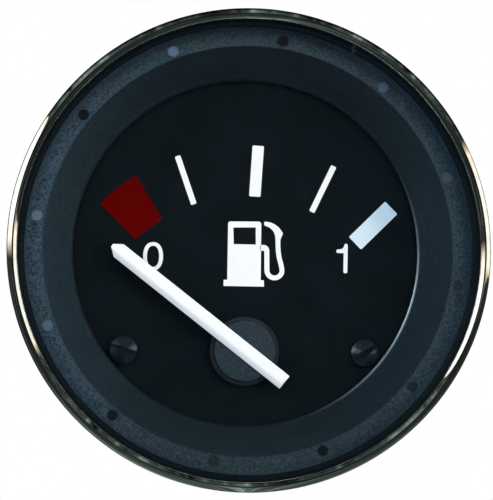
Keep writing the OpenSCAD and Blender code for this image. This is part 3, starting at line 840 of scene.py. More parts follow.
CHROME = Metal("bezel_chrome", (0.66, 0.69, 0.66, 1), (0.58, 0.62, 0.59, 1), (0.02, 0.07), dent=0.001)
GLASS = ClearGlass("lens_glass", (1, 1, 1, 1), (0.985, 0.995, 1, 1), (0.0, 0.015), bend=1.3)
BULB_GLASS = ClearGlass("bulb_glass", (1, 1, 1, 1), (0.97, 0.98, 0.96, 1), (0.0, 0.05), bend=1.5)
RUBBER = Moulding("seal_rubber", linear(7, 17, 22), linear(16, 28, 35), (0.5, 0.7), 0.3, 0.004, 0.1)
SURROUND = Land("surround_plastic", linear(16, 28, 34), linear(58, 80, 92), (0.42, 0.55))
CASE_PLASTIC = Moulding("case_plastic", linear(26, 29, 31), linear(40, 44, 47), (0.42, 0.6), 0.5, 0.012)
DIAL_BLACK = Paint("dial_paint", linear(11, 19, 23), linear(15, 24, 29), (0.6, 0.75), 4.0, 0.04)
WHITE_INK = Paint("ink_white", linear(250, 251, 252), linear(253, 253, 253), (0.5, 0.6), 1.5, 0.1)
# The pale-blue and red inks darken along a slant towards the upper right: painted shade standing in for a soft
# shadow across the marks.
BLUE_INK = InkWithPaintedShade("ink_pale_blue", linear(224, 242, 251), linear(190, 218, 236), (0.4, 0.6), shine=0.1,
                span=(11.9, 16.0))
RED_INK = InkWithPaintedShade("ink_red", linear(92, 1, 0), linear(80, 0, 0), (0.6, 0.7), shine=0.02, span=(-6.5, 1.5))
BLACK_STEEL = Moulding("black_steel", linear(13, 24, 29), linear(20, 34, 40), (0.16, 0.3), 0.5, 0.02, 0.9,
                       sheen=(0.6, 0.85, 1.0, 1.0))
POINTER_WHITE = Paint("pointer_white", linear(250, 252, 254), linear(246, 249, 252), (0.35, 0.45), 3.0)
# On the hub, the flash colour is painted shade that darkens the rim below the face.
HUB_PLASTIC = Moulding("hub_plastic", linear(22, 36, 44), linear(74, 100, 116), (0.35, 0.5), 0.155, 0.016, 0.4,
                       flash_and_shade=linear(20, 32, 39))
NYLON = Moulding("frame_nylon", linear(226, 222, 206), linear(214, 208, 190), (0.4, 0.55), 0.6, 0.004)
COPPER = Metal("winding_copper", linear(168, 84, 44), linear(196, 112, 62), (0.25, 0.4), dent=0.001)
STEEL = Metal("plated_steel", linear(176, 178, 176), linear(190, 190, 183), (0.28, 0.46), dent=0.0007)
TURNED_STEEL = Metal("turned_steel", linear(182, 184, 184), linear(196, 196, 190), (0.22, 0.4), 0.003, 0.002)
FERRITE = Moulding("ferrite", linear(44, 44, 46), linear(60, 60, 62), (0.5, 0.7), 0.3, 0.01)
BOARD = Laminate("board_laminate", linear(122, 96, 48), linear(148, 120, 66), (0.3, 0.45))
RESISTOR = Paint("resistor_body", linear(196, 168, 124), linear(206, 180, 138), (0.3, 0.4), 1.0, 0.5)
NUT_BRASS = Metal("nut_brass", linear(196, 160, 84), linear(212, 180, 108), (0.2, 0.38), 0.004, 0.002)
BLADE_BRASS = Metal("blade_brass", linear(206, 178, 112), linear(190, 160, 96), (0.25, 0.45), dent=0.003)
HOLDER = Moulding("holder_plastic", linear(226, 226, 220), linear(216, 216, 208), (0.4, 0.55), 0.5, 0.006)


def link(name: str, data: bpy.types.ID) -> bpy.types.Object:
    """Puts a new object with this data into the scene.

    Args:
        name: Name of the object.
        data: Its mesh, camera or lamp.

    Returns:
        The object.
    """
    made = bpy.data.objects.new(name, data)
    bpy.context.scene.collection.objects.link(made)
    return made


def settle(made: bpy.types.Object, finish: Finish, body: Body, nodes: Iterable[str], sharp: float) -> None:
    """Shades and dresses a piece, hangs it on its body, and hides the CAD nodes that it stands for.

    The large faces set the normals, so that flats beside small curves shade flat.

    Args:
        made: The piece's object.
        finish: Its finish.
        body: Body that it rides on.
        nodes: CAD nodes that it stands for.
        sharp: Angle in degrees past which an edge stays sharp.
    """
    made.data.shade_smooth()
    made.data.set_sharp_from_angle(angle=math.radians(sharp))
    finish.dress(made)
    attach(made, body.value)
    if nodes:
        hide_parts(*nodes)
    weighted = made.modifiers.new("weighted", "WEIGHTED_NORMAL")
    weighted.keep_sharp = True
    weighted.weight = 60
    log.info("%s: %d faces on %s", made.name, len(made.data.polygons), body.value)


def piece(name: str, shells: Iterable[Shell], finish: Finish, nodes: Iterable[str] = (),
          body: Body = Body.CASE, sharp: float = SHARP,
          attributes: dict[str, Callable[[np.ndarray], np.ndarray]] | None = None) -> None:
    """Makes a piece of the object from its skins.

    Args:
        name: Name of the piece.
        shells: Its skins.
        finish: Its finish.
        nodes: CAD nodes that it stands for.
        body: Body that it rides on.
        sharp: Angle in degrees past which an edge stays sharp.
        attributes: Functions of the points that give a number at each, by the attribute's name.
    """
    points, faces, offset = [], [], 0
    for shell in shells:
        shell = shell.welded().outward()
        points.append(shell.points)
        for rows in shell.faces:
            faces.extend((rows + offset).tolist())
        offset += len(shell.points)
    bench = np.concatenate(points)
    mesh = bpy.data.meshes.new(name)
    mesh.from_pydata(installed(bench).tolist(), [], faces)
    for key, function in (attributes or {}).items():
        values = function(bench).astype(np.float32)
        mesh.attributes.new(key, "FLOAT", "POINT").data.foreach_set("value", values)
    settle(link(name, mesh), finish, body, nodes, sharp)


def keep(finish: Finish, *nodes: str) -> None:
    """Gives a finish to CAD nodes that stay as they are.

    Args:
        finish: The finish.
        nodes: Names of the nodes.
    """
    for node in nodes:
        finish.dress(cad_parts[node])
        log.info("%s: CAD solid in %s", node, finish.name)


def soften(node: str, name: str, finish: Finish, width: float, body: Body = Body.CASE) -> None:
    """Makes a copy of a CAD node with its sharp edges rounded off, and lets it stand for the node.

    Args:
        node: Name of the node.
        name: Name of the copy.
        finish: The copy's finish.
        width: Width of the rounded edges, in millimetres.
        body: Body that it rides on.
    """
    made = link(name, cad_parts[node].data.copy())
    weld = made.modifiers.new("weld", "WELD")
    weld.merge_threshold = 0.002 * MM
    bevel = made.modifiers.new("bevel", "BEVEL")
    bevel.width = width * MM
    bevel.segments = 2
    bevel.limit_method = "ANGLE"
    bevel.angle_limit = math.radians(40)
    depsgraph = bpy.context.evaluated_depsgraph_get()
    final = bpy.data.meshes.new_from_object(made.evaluated_get(depsgraph))
    made.modifiers.clear()
    made.data = final
    final.name = name
    settle(made, finish, body, [node], SHARP)


@dataclass
class FrontRing:
    """Chromed bezel, rubber seal and glass.

    Its less plain sizes: crest_z is the middle of the fold's round, lean is how far the wall draws in
    towards the crimp, and bend is the radius of the small bends. fold_touch is where the seal's fillet
    meets the fold, in sheet thicknesses inwards and up. seam_x is the place across of the groove where
    the seal's ends meet, groove its depth and half width, and flash_w about half the flash's width.
    """

    bezel_r: float = 30.0
    sheet: float = 0.68
    crest_z: float = 5.915
    corner: float = 1.0
    lean: float = 0.25
    bend: float = 0.15
    crimp_r: float = 27.0
    lens_r: float = 28.4
    lens_foot: float = 3.12
    lens_top: float = 4.9
    lens_edge: float = 0.2
    seal_foot: float = 3.1
    seal_top: float = 5.5
    seal_in: float = 27.8
    stack_r: float = 29.2
    fold_touch: Pair = (1.866, 0.49)
    seam_x: float = 12.7
    groove: Pair = (0.06, 0.16)
    flash_w: float = 0.11
    turns: int = 720
    lens_turns: int = 256

    def bezel_profile(self) -> np.ndarray:
        """Closed outline of the sheet: half-round fold, hem, inner wall, crimp with its bend, and wall.

        Returns:
            Radius and height of each point, shape (n, 2).
        """
        mid = self.bezel_r - self.sheet
        inner = self.bezel_r - self.corner
        return np.concatenate([
            arc((mid, self.crest_z), self.sheet, 0, 180, 41),
            arc((mid - self.sheet + self.bend, self.seal_top + self.bend), self.bend, 180, 270, 5),
            [[mid, self.seal_top]],
            arc((inner, self.corner), self.corner - self.sheet, 0, -90, 7),
            arc((self.crimp_r + self.bend, self.sheet - self.bend), self.bend, 90, 180, 4),
            arc((self.crimp_r + self.bend, self.bend), self.bend, 180, 270, 4),
            arc((inner - self.lean, self.corner), self.corner, -90, 0, 13),
        ])

    def seal_profile(self) -> np.ndarray:
        """Closed angle section that fills the corner under the fold and rolls down towards the glass.

        Returns:
            Radius and height of each point, shape (n, 2).
        """
        foot, top, glass, gap = self.seal_foot, self.seal_top, self.lens_top + 0.01, 0.02
        hem = self.bezel_r - self.fold_touch[0] * self.sheet
        edge = self.crest_z + self.fold_touch[1] * self.sheet
        return rounded([
            (self.stack_r, foot, 0), (self.stack_r, top, 0), (hem + gap, top, 0), (hem + gap, edge, 0),
            (hem - 0.16, edge - 0.12, 0.06), (hem - 0.38, top + 0.1, 0.15), (self.seal_in, top - 0.12, 0.2),
            (self.seal_in, glass, 0.05), (self.lens_r + gap, glass, 0), (self.lens_r + gap, foot, 0),
        ], 5)

    def seal(self) -> Shell:
        """The seal's profile turned about the axis, lowered along the groove by a bell curve.

        Returns:
            The skin.
        """
        t = round_steps(self.turns)
        r, h = self.seal_profile().T
        away = np.abs(r * np.cos(t) - self.seam_x)
        depth, half = self.groove
        sunk = depth * (np.sin(t) > 0) * (h > self.lens_top + 0.2) * np.exp(-((away / half) ** 2))
        return grid(upright(t, r, h - sunk))

    def flash_and_shade(self, points: np.ndarray) -> np.ndarray:
        """Gives 1 on the fine line where the seal's ends meet, and fades to 0 beside it."""
        away = np.abs(points[:, 0] - self.seam_x)
        return np.clip(1.3 - away / self.flash_w, 0, 1) * (points[:, 1] > 0)

    def build(self) -> None:
        """Makes the three rings."""
        piece("bezel_ring", [lathe(self.bezel_profile(), self.turns)], CHROME, ["bezel"])
        piece("seal_ring", [self.seal()], RUBBER, ["lens_seal"], attributes={"flash_and_shade": self.flash_and_shade})
        glass = rounded([
            (0, self.lens_foot, 0), (self.lens_r, self.lens_foot, self.lens_edge),
            (self.lens_r, self.lens_top, self.lens_edge), (0, self.lens_top, 0),
        ], 3)
        piece("lens_disc", [lathe(glass, self.lens_turns)], GLASS, ["lens"])


@dataclass
class Surround:
    """Textured land with its moulding marks, and the cone down to the dial.

    Its less plain sizes: land_fall is how far the land falls on its way out from the cone's brow to
    seen_r, where the seal begins to hide it. cone_end is how far from the rim the cone stops for the
    lip, across and up, and lip_reach how far across and down from there the lip counts as such.
    highlight_at and highlight_wide are the middle and the spread of the lip's painted highlight, the stretch
    that is made metallic to mirror the left card, in degrees, and mark_first is the angle of the first mark.
    texture is the height of the land's bumps, and rings and turns are the steps across the land and round
    the axis.
    """

    outer_r: float = 29.2
    flange_top: float = 1.9
    land_z: float = 3.1
    land_r: float = 25.5
    land_fall: float = 0.3
    seen_r: float = 27.8
    brow: float = 0.22
    cone_r: float = 21.6
    cone_end: Pair = (0.3, 0.27)
    rim_top: float = -2.3
    rim_foot: float = -2.8
    wall: float = 1.11
    lip_r: float = 0.1
    lip_reach: Pair = (0.17, 0.05)
    lip_dark: float = 0.8
    texture: float = 0.016
    turns: int = 1260
    rings: int = 26
    highlight_at: float = 339.0
    highlight_wide: float = 25.0
    mark_first: float = 21.2
    mark_count: int = 12
    mark_r: float = 26.5
    mark_radius: float = 0.68
    mark_deep: float = 0.12
    mark_edge: float = 0.06
    tones: tuple[float, ...] = (0.5, 0.6, -1, 0.8, -0.9, 0.85, 0.7, -0.8, 0.05, -1, -0.25, 0.15)

    def profile(self) -> tuple[np.ndarray, np.ndarray]:
        """Closed outline of the surround.

        Returns:
            The outline, and for each point 1 on the textured land and 0 elsewhere.
        """
        slope = (self.land_r - self.cone_r) / (self.land_z - self.rim_top)
        flat = np.linspace(self.outer_r - 0.05, self.land_r + 0.2, self.rings)
        land = np.stack([flat, np.full(self.rings, self.land_z)], -1)
        tilt = math.degrees(math.atan(slope))
        brow = arc((self.land_r + 0.12, self.land_z - self.brow), self.brow, 90, 180 - tilt, 5)[1:]
        lip = arc((self.cone_r + self.lip_r, self.rim_top + 0.02), self.lip_r, 78, 180, 9)
        across, up = self.cone_end
        cone = np.stack([np.linspace(brow[-1, 0] - 0.05, self.cone_r + across, 7),
                         np.linspace(brow[-1, 1] - 0.07, self.rim_top + up, 7)], -1)
        back_r = self.land_r + self.wall - (self.land_z - self.flange_top) * slope
        rest = np.array([
            [self.cone_r, self.rim_foot], [self.cone_r + self.wall, self.rim_foot],
            [self.cone_r + self.wall, self.rim_top], [back_r, self.flange_top],
            [self.outer_r, self.flange_top], [self.outer_r, self.land_z - 0.05]])
        points = np.concatenate([land, brow, cone, lip, rest])
        mask = np.concatenate([np.ones(self.rings), np.zeros(len(points) - self.rings)])
        return points, mask

    def marks(self, x: np.ndarray, y: np.ndarray) -> tuple[np.ndarray, np.ndarray]:
        """Finds the nearest moulding mark.

        Args:
            x: Places across.
            y: Places up.

        Returns:
            Distance to the mark's middle, and the mark's tone.
        """
        step = TAU / self.mark_count
        turn = np.arctan2(y, x) - math.radians(self.mark_first)
        number = np.round(turn / step).astype(int) % self.mark_count
        a = math.radians(self.mark_first) + number * step
        away = np.hypot(x - self.mark_r * np.cos(a), y - self.mark_r * np.sin(a))
        return away, np.array(self.tones)[number]

    def skin(self) -> Shell:
        """The outline turned about the axis, then lowered by the land's fall, its marks and its texture.

        Returns:
            The skin.
        """
        points, mask = self.profile()
        t = round_steps(self.turns)
        r, h = points.T
        x, y = r * np.cos(t), r * np.sin(t)
        away, _ = self.marks(x, y)
        noise = np.random.default_rng(7).normal(size=x.shape)
        noise = (noise + np.roll(noise, 1, 0) + np.roll(noise, 1, 1)) / 2
        inside = smoothstep(self.land_r, self.land_r + 0.25, r) * mask
        outside_mark = smoothstep(self.mark_radius - self.mark_edge, self.mark_radius + self.mark_edge, away)
        fall = self.land_fall * np.clip((r - self.land_r) / (self.seen_r - self.land_r), 0, 1)
        h = h - mask * (fall + 2.2 * self.texture * inside)
        h = h + inside * outside_mark * self.texture * np.clip(noise, -2, 2)
        h = h - mask * self.mark_deep * (1 - outside_mark)
        return grid(np.stack([x, y, h], axis=-1))

    def land_mask(self, points: np.ndarray) -> np.ndarray:
        """Gives 1 on the textured land, and 0 on the cone and inside the marks.

        Args:
            points: Places on the piece, shape (n, 3).

        Returns:
            The mask at each point.
        """
        r = np.hypot(points[:, 0], points[:, 1])
        away, _ = self.marks(points[:, 0], points[:, 1])
        return smoothstep(self.land_r - 0.02, self.land_r + 0.12, r) * (away > self.mark_radius)

    def lip_zone(self, points: np.ndarray) -> np.ndarray:
        """Marks the points of the small lip at the foot of the cone.

        Args:
            points: Places on the piece, shape (n, 3).

        Returns:
            Whether each point lies on it.
        """
        across, down = self.lip_reach
        r = np.hypot(points[:, 0], points[:, 1])
        return (r < self.cone_r + across) & (points[:, 2] > self.rim_top - down)

    def tone(self, points: np.ndarray) -> np.ndarray:
        """Gives each mark's own tone inside it, a dark tone on the lip, and 0 elsewhere.

        Args:
            points: Places on the piece, shape (n, 3).

        Returns:
            The tone at each point.
        """
        away, tone = self.marks(points[:, 0], points[:, 1])
        tone = tone * (away < self.mark_radius) * (points[:, 2] > self.flange_top + 0.1)
        return tone - self.lip_dark * self.lip_zone(points)

    def lip_painted_highlight(self, points: np.ndarray) -> np.ndarray:
        """Gives the painted highlight of the small lip at the foot of the cone, up to 1 at the lower right,
        where the lip mirrors the left card.

        Args:
            points: Places on the piece, shape (n, 3).

        Returns:
            The polish at each point.
        """
        b = np.degrees(np.arctan2(points[:, 1], points[:, 0]))
        away = (b - self.highlight_at + 180) % 360 - 180
        return self.lip_zone(points) * np.exp(-((away / self.highlight_wide) ** 2))

    def build(self) -> None:
        """Makes the surround."""
        piece("surround_ring", [self.skin()], SURROUND, ["dial_surround"],
              attributes={"land": self.land_mask, "tone": self.tone, "lip": self.lip_painted_highlight})


@dataclass
class Dial:
    """Black plate with its printing and its two screws.

    lines is the number of lines on a screw's head on either side of its slot, and steps the number of
    points along each.
    """

    face_z: float = -3.1
    ink: float = 0.06
    screw_x: float = 15.13
    head_r: float = 1.72
    head_h: float = 1.1
    dome: float = 0.45
    slot_w: float = 0.5
    slot_deep: float = 0.6
    slot_edge: float = 0.05
    screw_turns: Pair = (-18.0, 31.0)
    shank_r: float = 1.0
    shank: float = 3.5
    lines: int = 22
    steps: int = 33

    def numeral_zero(self) -> Shell:
        """Ring between two outlines of the form |x / a|^n + |y / b|^n = 1.

        Returns:
            The skin.
        """
        t = np.linspace(0, TAU, 72, endpoint=False)

        def oval(a: float, b: float, n: float) -> np.ndarray:
            """Points of one outline."""
            c, s = np.cos(t), np.sin(t)
            return np.stack([a * np.sign(c) * np.abs(c) ** (2 / n), b * np.sign(s) * np.abs(s) ** (2 / n)], -1)

        centre = np.array([-11.55, -0.53])
        outer, inner = oval(1.25, 1.78, 2.25), oval(0.76, 1.32, 2.3)
        return band(outer + centre, inner + centre, self.face_z, self.face_z + self.ink)

    def numeral_one(self) -> Shell:
        """Upright bar with a short flag that sweeps up into its head.

        Returns:
            The skin.
        """
        outline = np.concatenate([
            arc((12.7, 1.22), 0.18, 0, 90, 5), arc((12.6, 1.29), 0.11, 90, 160, 4),
            arc((11.82, 1.35), 0.66, 356, 270, 9), arc((11.68, 0.46), 0.23, 90, 270, 9),
            [[12.38, 0.23]], arc((12.58, -2.08), 0.21, 180, 270, 5), arc((12.66, -2.08), 0.21, 270, 360, 5),
        ])
        return slab(outline, self.face_z, self.face_z + self.ink)

    def pump(self) -> list[Shell]:
        """Pump: body with a window, base bar, and a hose that rises to a bent nozzle.

        Returns:
            The skins of body, base bar and hose.
        """
        foot, top = self.face_z, self.face_z + self.ink
        t = np.linspace(0, 1, 17)[:, None]

        def corners(*rows: tuple[float, float, float]) -> np.ndarray:
            """Rounded outline with a set number of points on each side.

            Args:
                rows: Corners in order, each as x, y and the radius of its arc.

            Returns:
                Points of the outline.
            """
            out = rounded(rows, 4)
            share = t[:8] / t[8]
            return (out[:, None] * (1 - share) + np.roll(out, -1, 0)[:, None] * share).reshape(-1, 2)

        body = corners((-2.18, 4.0, 0.3), (-2.22, -3.35, 0.01), (1.99, -3.33, 0.01), (1.98, 4.03, 0.33))
        window = corners((-1.52, 3.24, 0.05), (-1.46, 1.16, 0.05), (1.32, 1.13, 0.05), (1.29, 3.29, 0.05))
        base = rounded([(-2.66, -3.33, 0.05), (-2.67, -4.11, 0.05), (2.42, -4.13, 0.05),
                        (2.38, -3.33, 0.05)], 3)
        hose = np.concatenate([
            [[1.9, 0.74], [2.31, 0.74]], arc((2.32, 0.35), 0.39, 86, 0, 9)[1:], [[2.73, -0.85], [2.75, -2.0]],
            arc((3.71, -2.06), 0.95, 180, 360, 19)[1:],
            [[4.49, -1.24], [4.27, -0.46], [4.17, 0.17], [4.12, 0.79], [4.1, 1.26], [4.1, 1.75]],
        ])
        wide = np.interp(np.arange(len(hose)), [0, 2, 10, 12, 30, 35], [0.74, 0.72, 0.62, 0.62, 0.6, 0.61])
        nozzle = np.array([
            [3.75, 2.2], [3.62, 2.64], [3.38, 3.01], [2.98, 3.32], [2.51, 3.49], [2.38, 3.59], [2.33, 3.8],
            [2.36, 3.97], [2.44, 4.03], [2.82, 4.01], [3.29, 3.89], [3.76, 3.66], [4.21, 3.31], [4.56, 2.84],
            [4.71, 2.6], [4.71, 2.5], [4.6, 2.28], [4.5, 2.06],
        ])
        return [band(body, window, foot, top), slab(base, foot, top), ribbon(hose, wide, foot, top, nozzle)]

    def screw(self, place: Pair, turn: float) -> Shell:
        """Domed head with a slot, on a plain shank.

        Lines run along the slot: across it at v, a line's half length is sqrt(R^2 - v^2), and its
        height is the dome's, or the slot's floor between the slot's walls.

        Args:
            place: Middle of the head.
            turn: Angle of the slot, in degrees.

        Returns:
            The skin.
        """
        half, edge, count = self.slot_w / 2, self.slot_edge, self.lines
        start = math.asin((half + edge) / self.head_r)
        side = self.head_r * np.sin(np.linspace(start, math.pi / 2, count))
        across = np.concatenate([-side[::-1], [-half, -half, half, half], side])
        floor = np.concatenate([np.zeros(count), [0, 1, 1, 0], np.zeros(count)])
        u = np.sin(np.linspace(-math.pi / 2, math.pi / 2, self.steps))
        reach = np.sqrt(np.maximum(self.head_r ** 2 - across ** 2, 0))
        x = u[:, None] * reach[None]
        y = np.broadcast_to(across, x.shape)
        radius = (self.head_r ** 2 + self.dome ** 2) / (2 * self.dome)
        dome = self.head_h - radius + np.sqrt(radius ** 2 - x ** 2 - y ** 2)
        drop = edge * (np.abs(across) < half + 0.01) * (floor == 0)
        height = np.where(floor[None] > 0, self.head_h - self.slot_deep, dome - drop[None])
        top = grid(np.stack([x, y, height + self.face_z], -1), False, False)
        number = np.arange(x.size).reshape(x.shape)
        rim = np.concatenate([number[0], number[1:, -1], number[-1, -2::-1], number[-2:0:-1, 0]])
        wall = top.points[rim]
        rings = [wall]
        neck = self.shank_r / self.head_r
        for scale, z in ((1.0, 0.0), (neck, 0.0), (neck, -self.shank), (0.0, -self.shank)):
            rings.append(wall * np.array([scale, scale, 0]) + np.array([0, 0, self.face_z + z]))
        sides = grid(np.stack(rings), wrap_rows=False)
        joined = Shell(np.concatenate([top.points, sides.points]),
                       [top.faces[0], sides.faces[0][:, ::-1] + len(top.points)])
        return joined.turned(turn, place)

    def build(self) -> None:
        """Dresses the plate and marks, and makes the numerals, the pump and the screws."""
        keep(DIAL_BLACK, "dial_plate")
        keep(WHITE_INK, "scale_marks")
        keep(BLUE_INK, "full_mark")
        keep(RED_INK, "reserve_mark")
        piece("numeral_zero", [self.numeral_zero()], WHITE_INK)
        piece("numeral_one", [self.numeral_one()], WHITE_INK)
        piece("pump_symbol", self.pump(), WHITE_INK)
        heads = [self.screw((x, PIVOT[1]), turn)
                 for x, turn in zip((-self.screw_x, self.screw_x), self.screw_turns)]
        piece("dial_screw_pair", heads, BLACK_STEEL, ["dial_screws"])


@dataclass
class Pointer:
    """Needle and hub.

    Its less plain sizes: half is the needle's half width, side the height of its upright sides and
    crown that of the roof over them. ridge is the ridge's place across, as a share of the half width,
    and ridge_round its roundness. point is the length of the tapered end, and blunt its half width.
    """

    rest_angle: float = 52.3
    half: float = 1.0
    tip: float = 21.2
    tail: float = 6.3
    foot_z: float = -1.1
    side: float = 0.3
    crown: float = 0.396
    ridge: float = -0.33
    ridge_round: float = 0.2
    soft: float = 0.04
    point: float = 1.05
    blunt: float = 0.2
    hub_r: float = 4.33
    face_r: float = 3.78
    hub_foot: float = -2.5
    step_z: float = -2.0
    boss_r: float = 1.5
    boss_foot: float = -4.2
    hub_turns: int = 160

    def needle(self) -> Shell:
        """Section carried along the needle.

        Across at u, from -1 to 1, the back stands at side + crown (1 - sqrt(v^2 + e^2)), a roof with a
        rounded ridge, over upright sides. v is the distance from the ridge as a share of that side's
        width. The half width shrinks to the tip, and at the tail a bevel caps the height.

        Returns:
            The skin.
        """
        end, start = self.tip - self.point, -self.tail
        along = np.concatenate([
            [start, start, start + 0.12, start + 0.3, start + 0.6, start + 1.0],
            np.linspace(-4, end - 0.3, 20), np.linspace(end - 0.1, self.tip, 9), [self.tip]])
        open_end = np.ones((len(along), 1))
        open_end[[0, -1]] = 0
        width = np.interp(along, [end, self.tip], [self.half, self.blunt])[:, None]
        u = np.sin(np.linspace(-math.pi / 2, math.pi / 2, 25))
        x = width * u
        share = x / self.half
        lean = np.abs(share - self.ridge) / np.where(share < self.ridge, 1 + self.ridge, 1 - self.ridge)
        back = self.foot_z + self.side + self.crown * (1 - np.sqrt(lean ** 2 + self.ridge_round ** 2))
        cap = self.foot_z + np.interp(along, [start, start + 0.35], [self.side + 0.1, self.side + 0.9])
        back = np.minimum(back - self.soft * (np.abs(u) > 0.999), cap[:, None])
        foot = np.full_like(width, self.foot_z)
        x = np.concatenate([-width, x, width], 1) * open_end
        z = np.where(open_end > 0, np.concatenate([foot, back, foot], 1), self.foot_z + self.side / 2)
        y = np.broadcast_to(along[:, None], x.shape)
        return grid(np.stack([x, y, z], -1), wrap_rows=False).turned(self.rest_angle, PIVOT)

    def hub(self) -> Shell:
        """Stepped disc: a flat face, a flared step, the base, and the boss under it.

        Returns:
            The skin.
        """
        top = self.foot_z
        profile = rounded([
            (0, top, 0), (self.face_r, top, 0.1), (self.face_r + 0.06, self.step_z, 0.05),
            (self.hub_r, self.step_z, 0.14), (self.hub_r, self.hub_foot, 0.05),
            (self.boss_r, self.hub_foot, 0), (self.boss_r, self.boss_foot, 0), (0, self.boss_foot, 0),
        ], 5)
        return lathe(profile, self.hub_turns, PIVOT)

    def rim_painted_shade(self, points: np.ndarray) -> np.ndarray:
        """Marks the painted shade on the hub's rim: 0.8 where the height is at the step or below it."""
        return 0.8 * (points[:, 2] < self.step_z + 0.02)

    def build(self) -> None:
        """Makes the needle and the hub, and dresses what turns with them."""
        piece("needle_bar", [self.needle()], POINTER_WHITE, ["needle"], Body.POINTER)
        piece("hub_disc", [self.hub()], HUB_PLASTIC, ["pointer_hub"], Body.POINTER,
              attributes={"flash_and_shade": self.rim_painted_shade})
        keep(STEEL, "spindle", "stop_arm")
        keep(FERRITE, "disc_magnet")


@dataclass
class Movement:
    """Frame, formers, windings, shield and board.

    hump is how far each wire stands proud. fit is the room between a winding and what it lies on, and
    the radius of its inner corners.
    """

    former_half: float = 7.0
    former_mid: float = -16.9
    former_h: float = 8.6
    coil_t: float = 1.6
    coil_w: float = 3.0
    coil_side: float = 2.4
    coil_round: float = 1.2
    wires: int = 11
    hump: float = 0.11
    fit: float = 0.02

    def winding(self, half_w: float, half_h: float, side: int, quarter: float) -> Shell:
        """Half of a winding: a bundle of wires carried round a rounded rectangle.

        The bundle's outside is drawn in and out by |sin|, one hump for each wire.

        Args:
            half_w: Half the former's width at this layer.
            half_h: Half the former's height at this layer.
            side: -1 or 1, the side of the spindle.
            quarter: Angle in degrees, 0 or 90.

        Returns:
            The skin.
        """
        w = np.linspace(0, 1, self.wires * 6 + 1)
        out = self.coil_t - self.hump + self.hump * np.abs(np.sin(math.pi * w * self.wires))
        section = np.concatenate([
            np.stack([w * self.coil_w, out], -1), [[self.coil_w, 0.0], [0.0, 0.0]]])
        inner, outer = (
            rounded([(a * (half_w + out), b * (half_h + out), radius)
                     for a, b in ((1, 1), (-1, 1), (-1, -1), (1, -1))], 6)
            for out, radius in ((0, self.fit), (self.coil_t, self.coil_round)))
        share = section[None, :, 1] / self.coil_t
        across = section[None, :, 0] + side * self.coil_side - self.coil_w / 2
        x = inner[:, :1] * (1 - share) + outer[:, :1] * share
        z = inner[:, 1:] * (1 - share) + outer[:, 1:] * share + self.former_mid
        y = np.broadcast_to(across, x.shape)
        return grid(np.stack([x, y, z], -1)).turned(quarter, PIVOT)

    def build(self) -> None:
        """Winds the coils, and dresses the rest of the movement."""
        half_w, half_h = self.former_half + self.fit, self.former_h / 2 + self.fit
        names = (("inner_coil", "inner_winding"), ("outer_coil", "outer_winding"))
        for layer, (name, node) in enumerate(names):
            lift = layer * (self.coil_t + self.fit)
            halves = [self.winding(half_w, half_h + lift, side, 90 * layer) for side in (-1, 1)]
            piece(name, halves, COPPER, [node])
        keep(NYLON, "movement_frame", "coil_former_front", "coil_former_rear")
        keep(STEEL, "magnetic_shield", "board_screws", "board_nuts")
        keep(TURNED_STEEL, "frame_pillars")
        keep(FERRITE, "return_magnet")
        keep(BOARD, "circuit_board")
        keep(RESISTOR, "resistors")


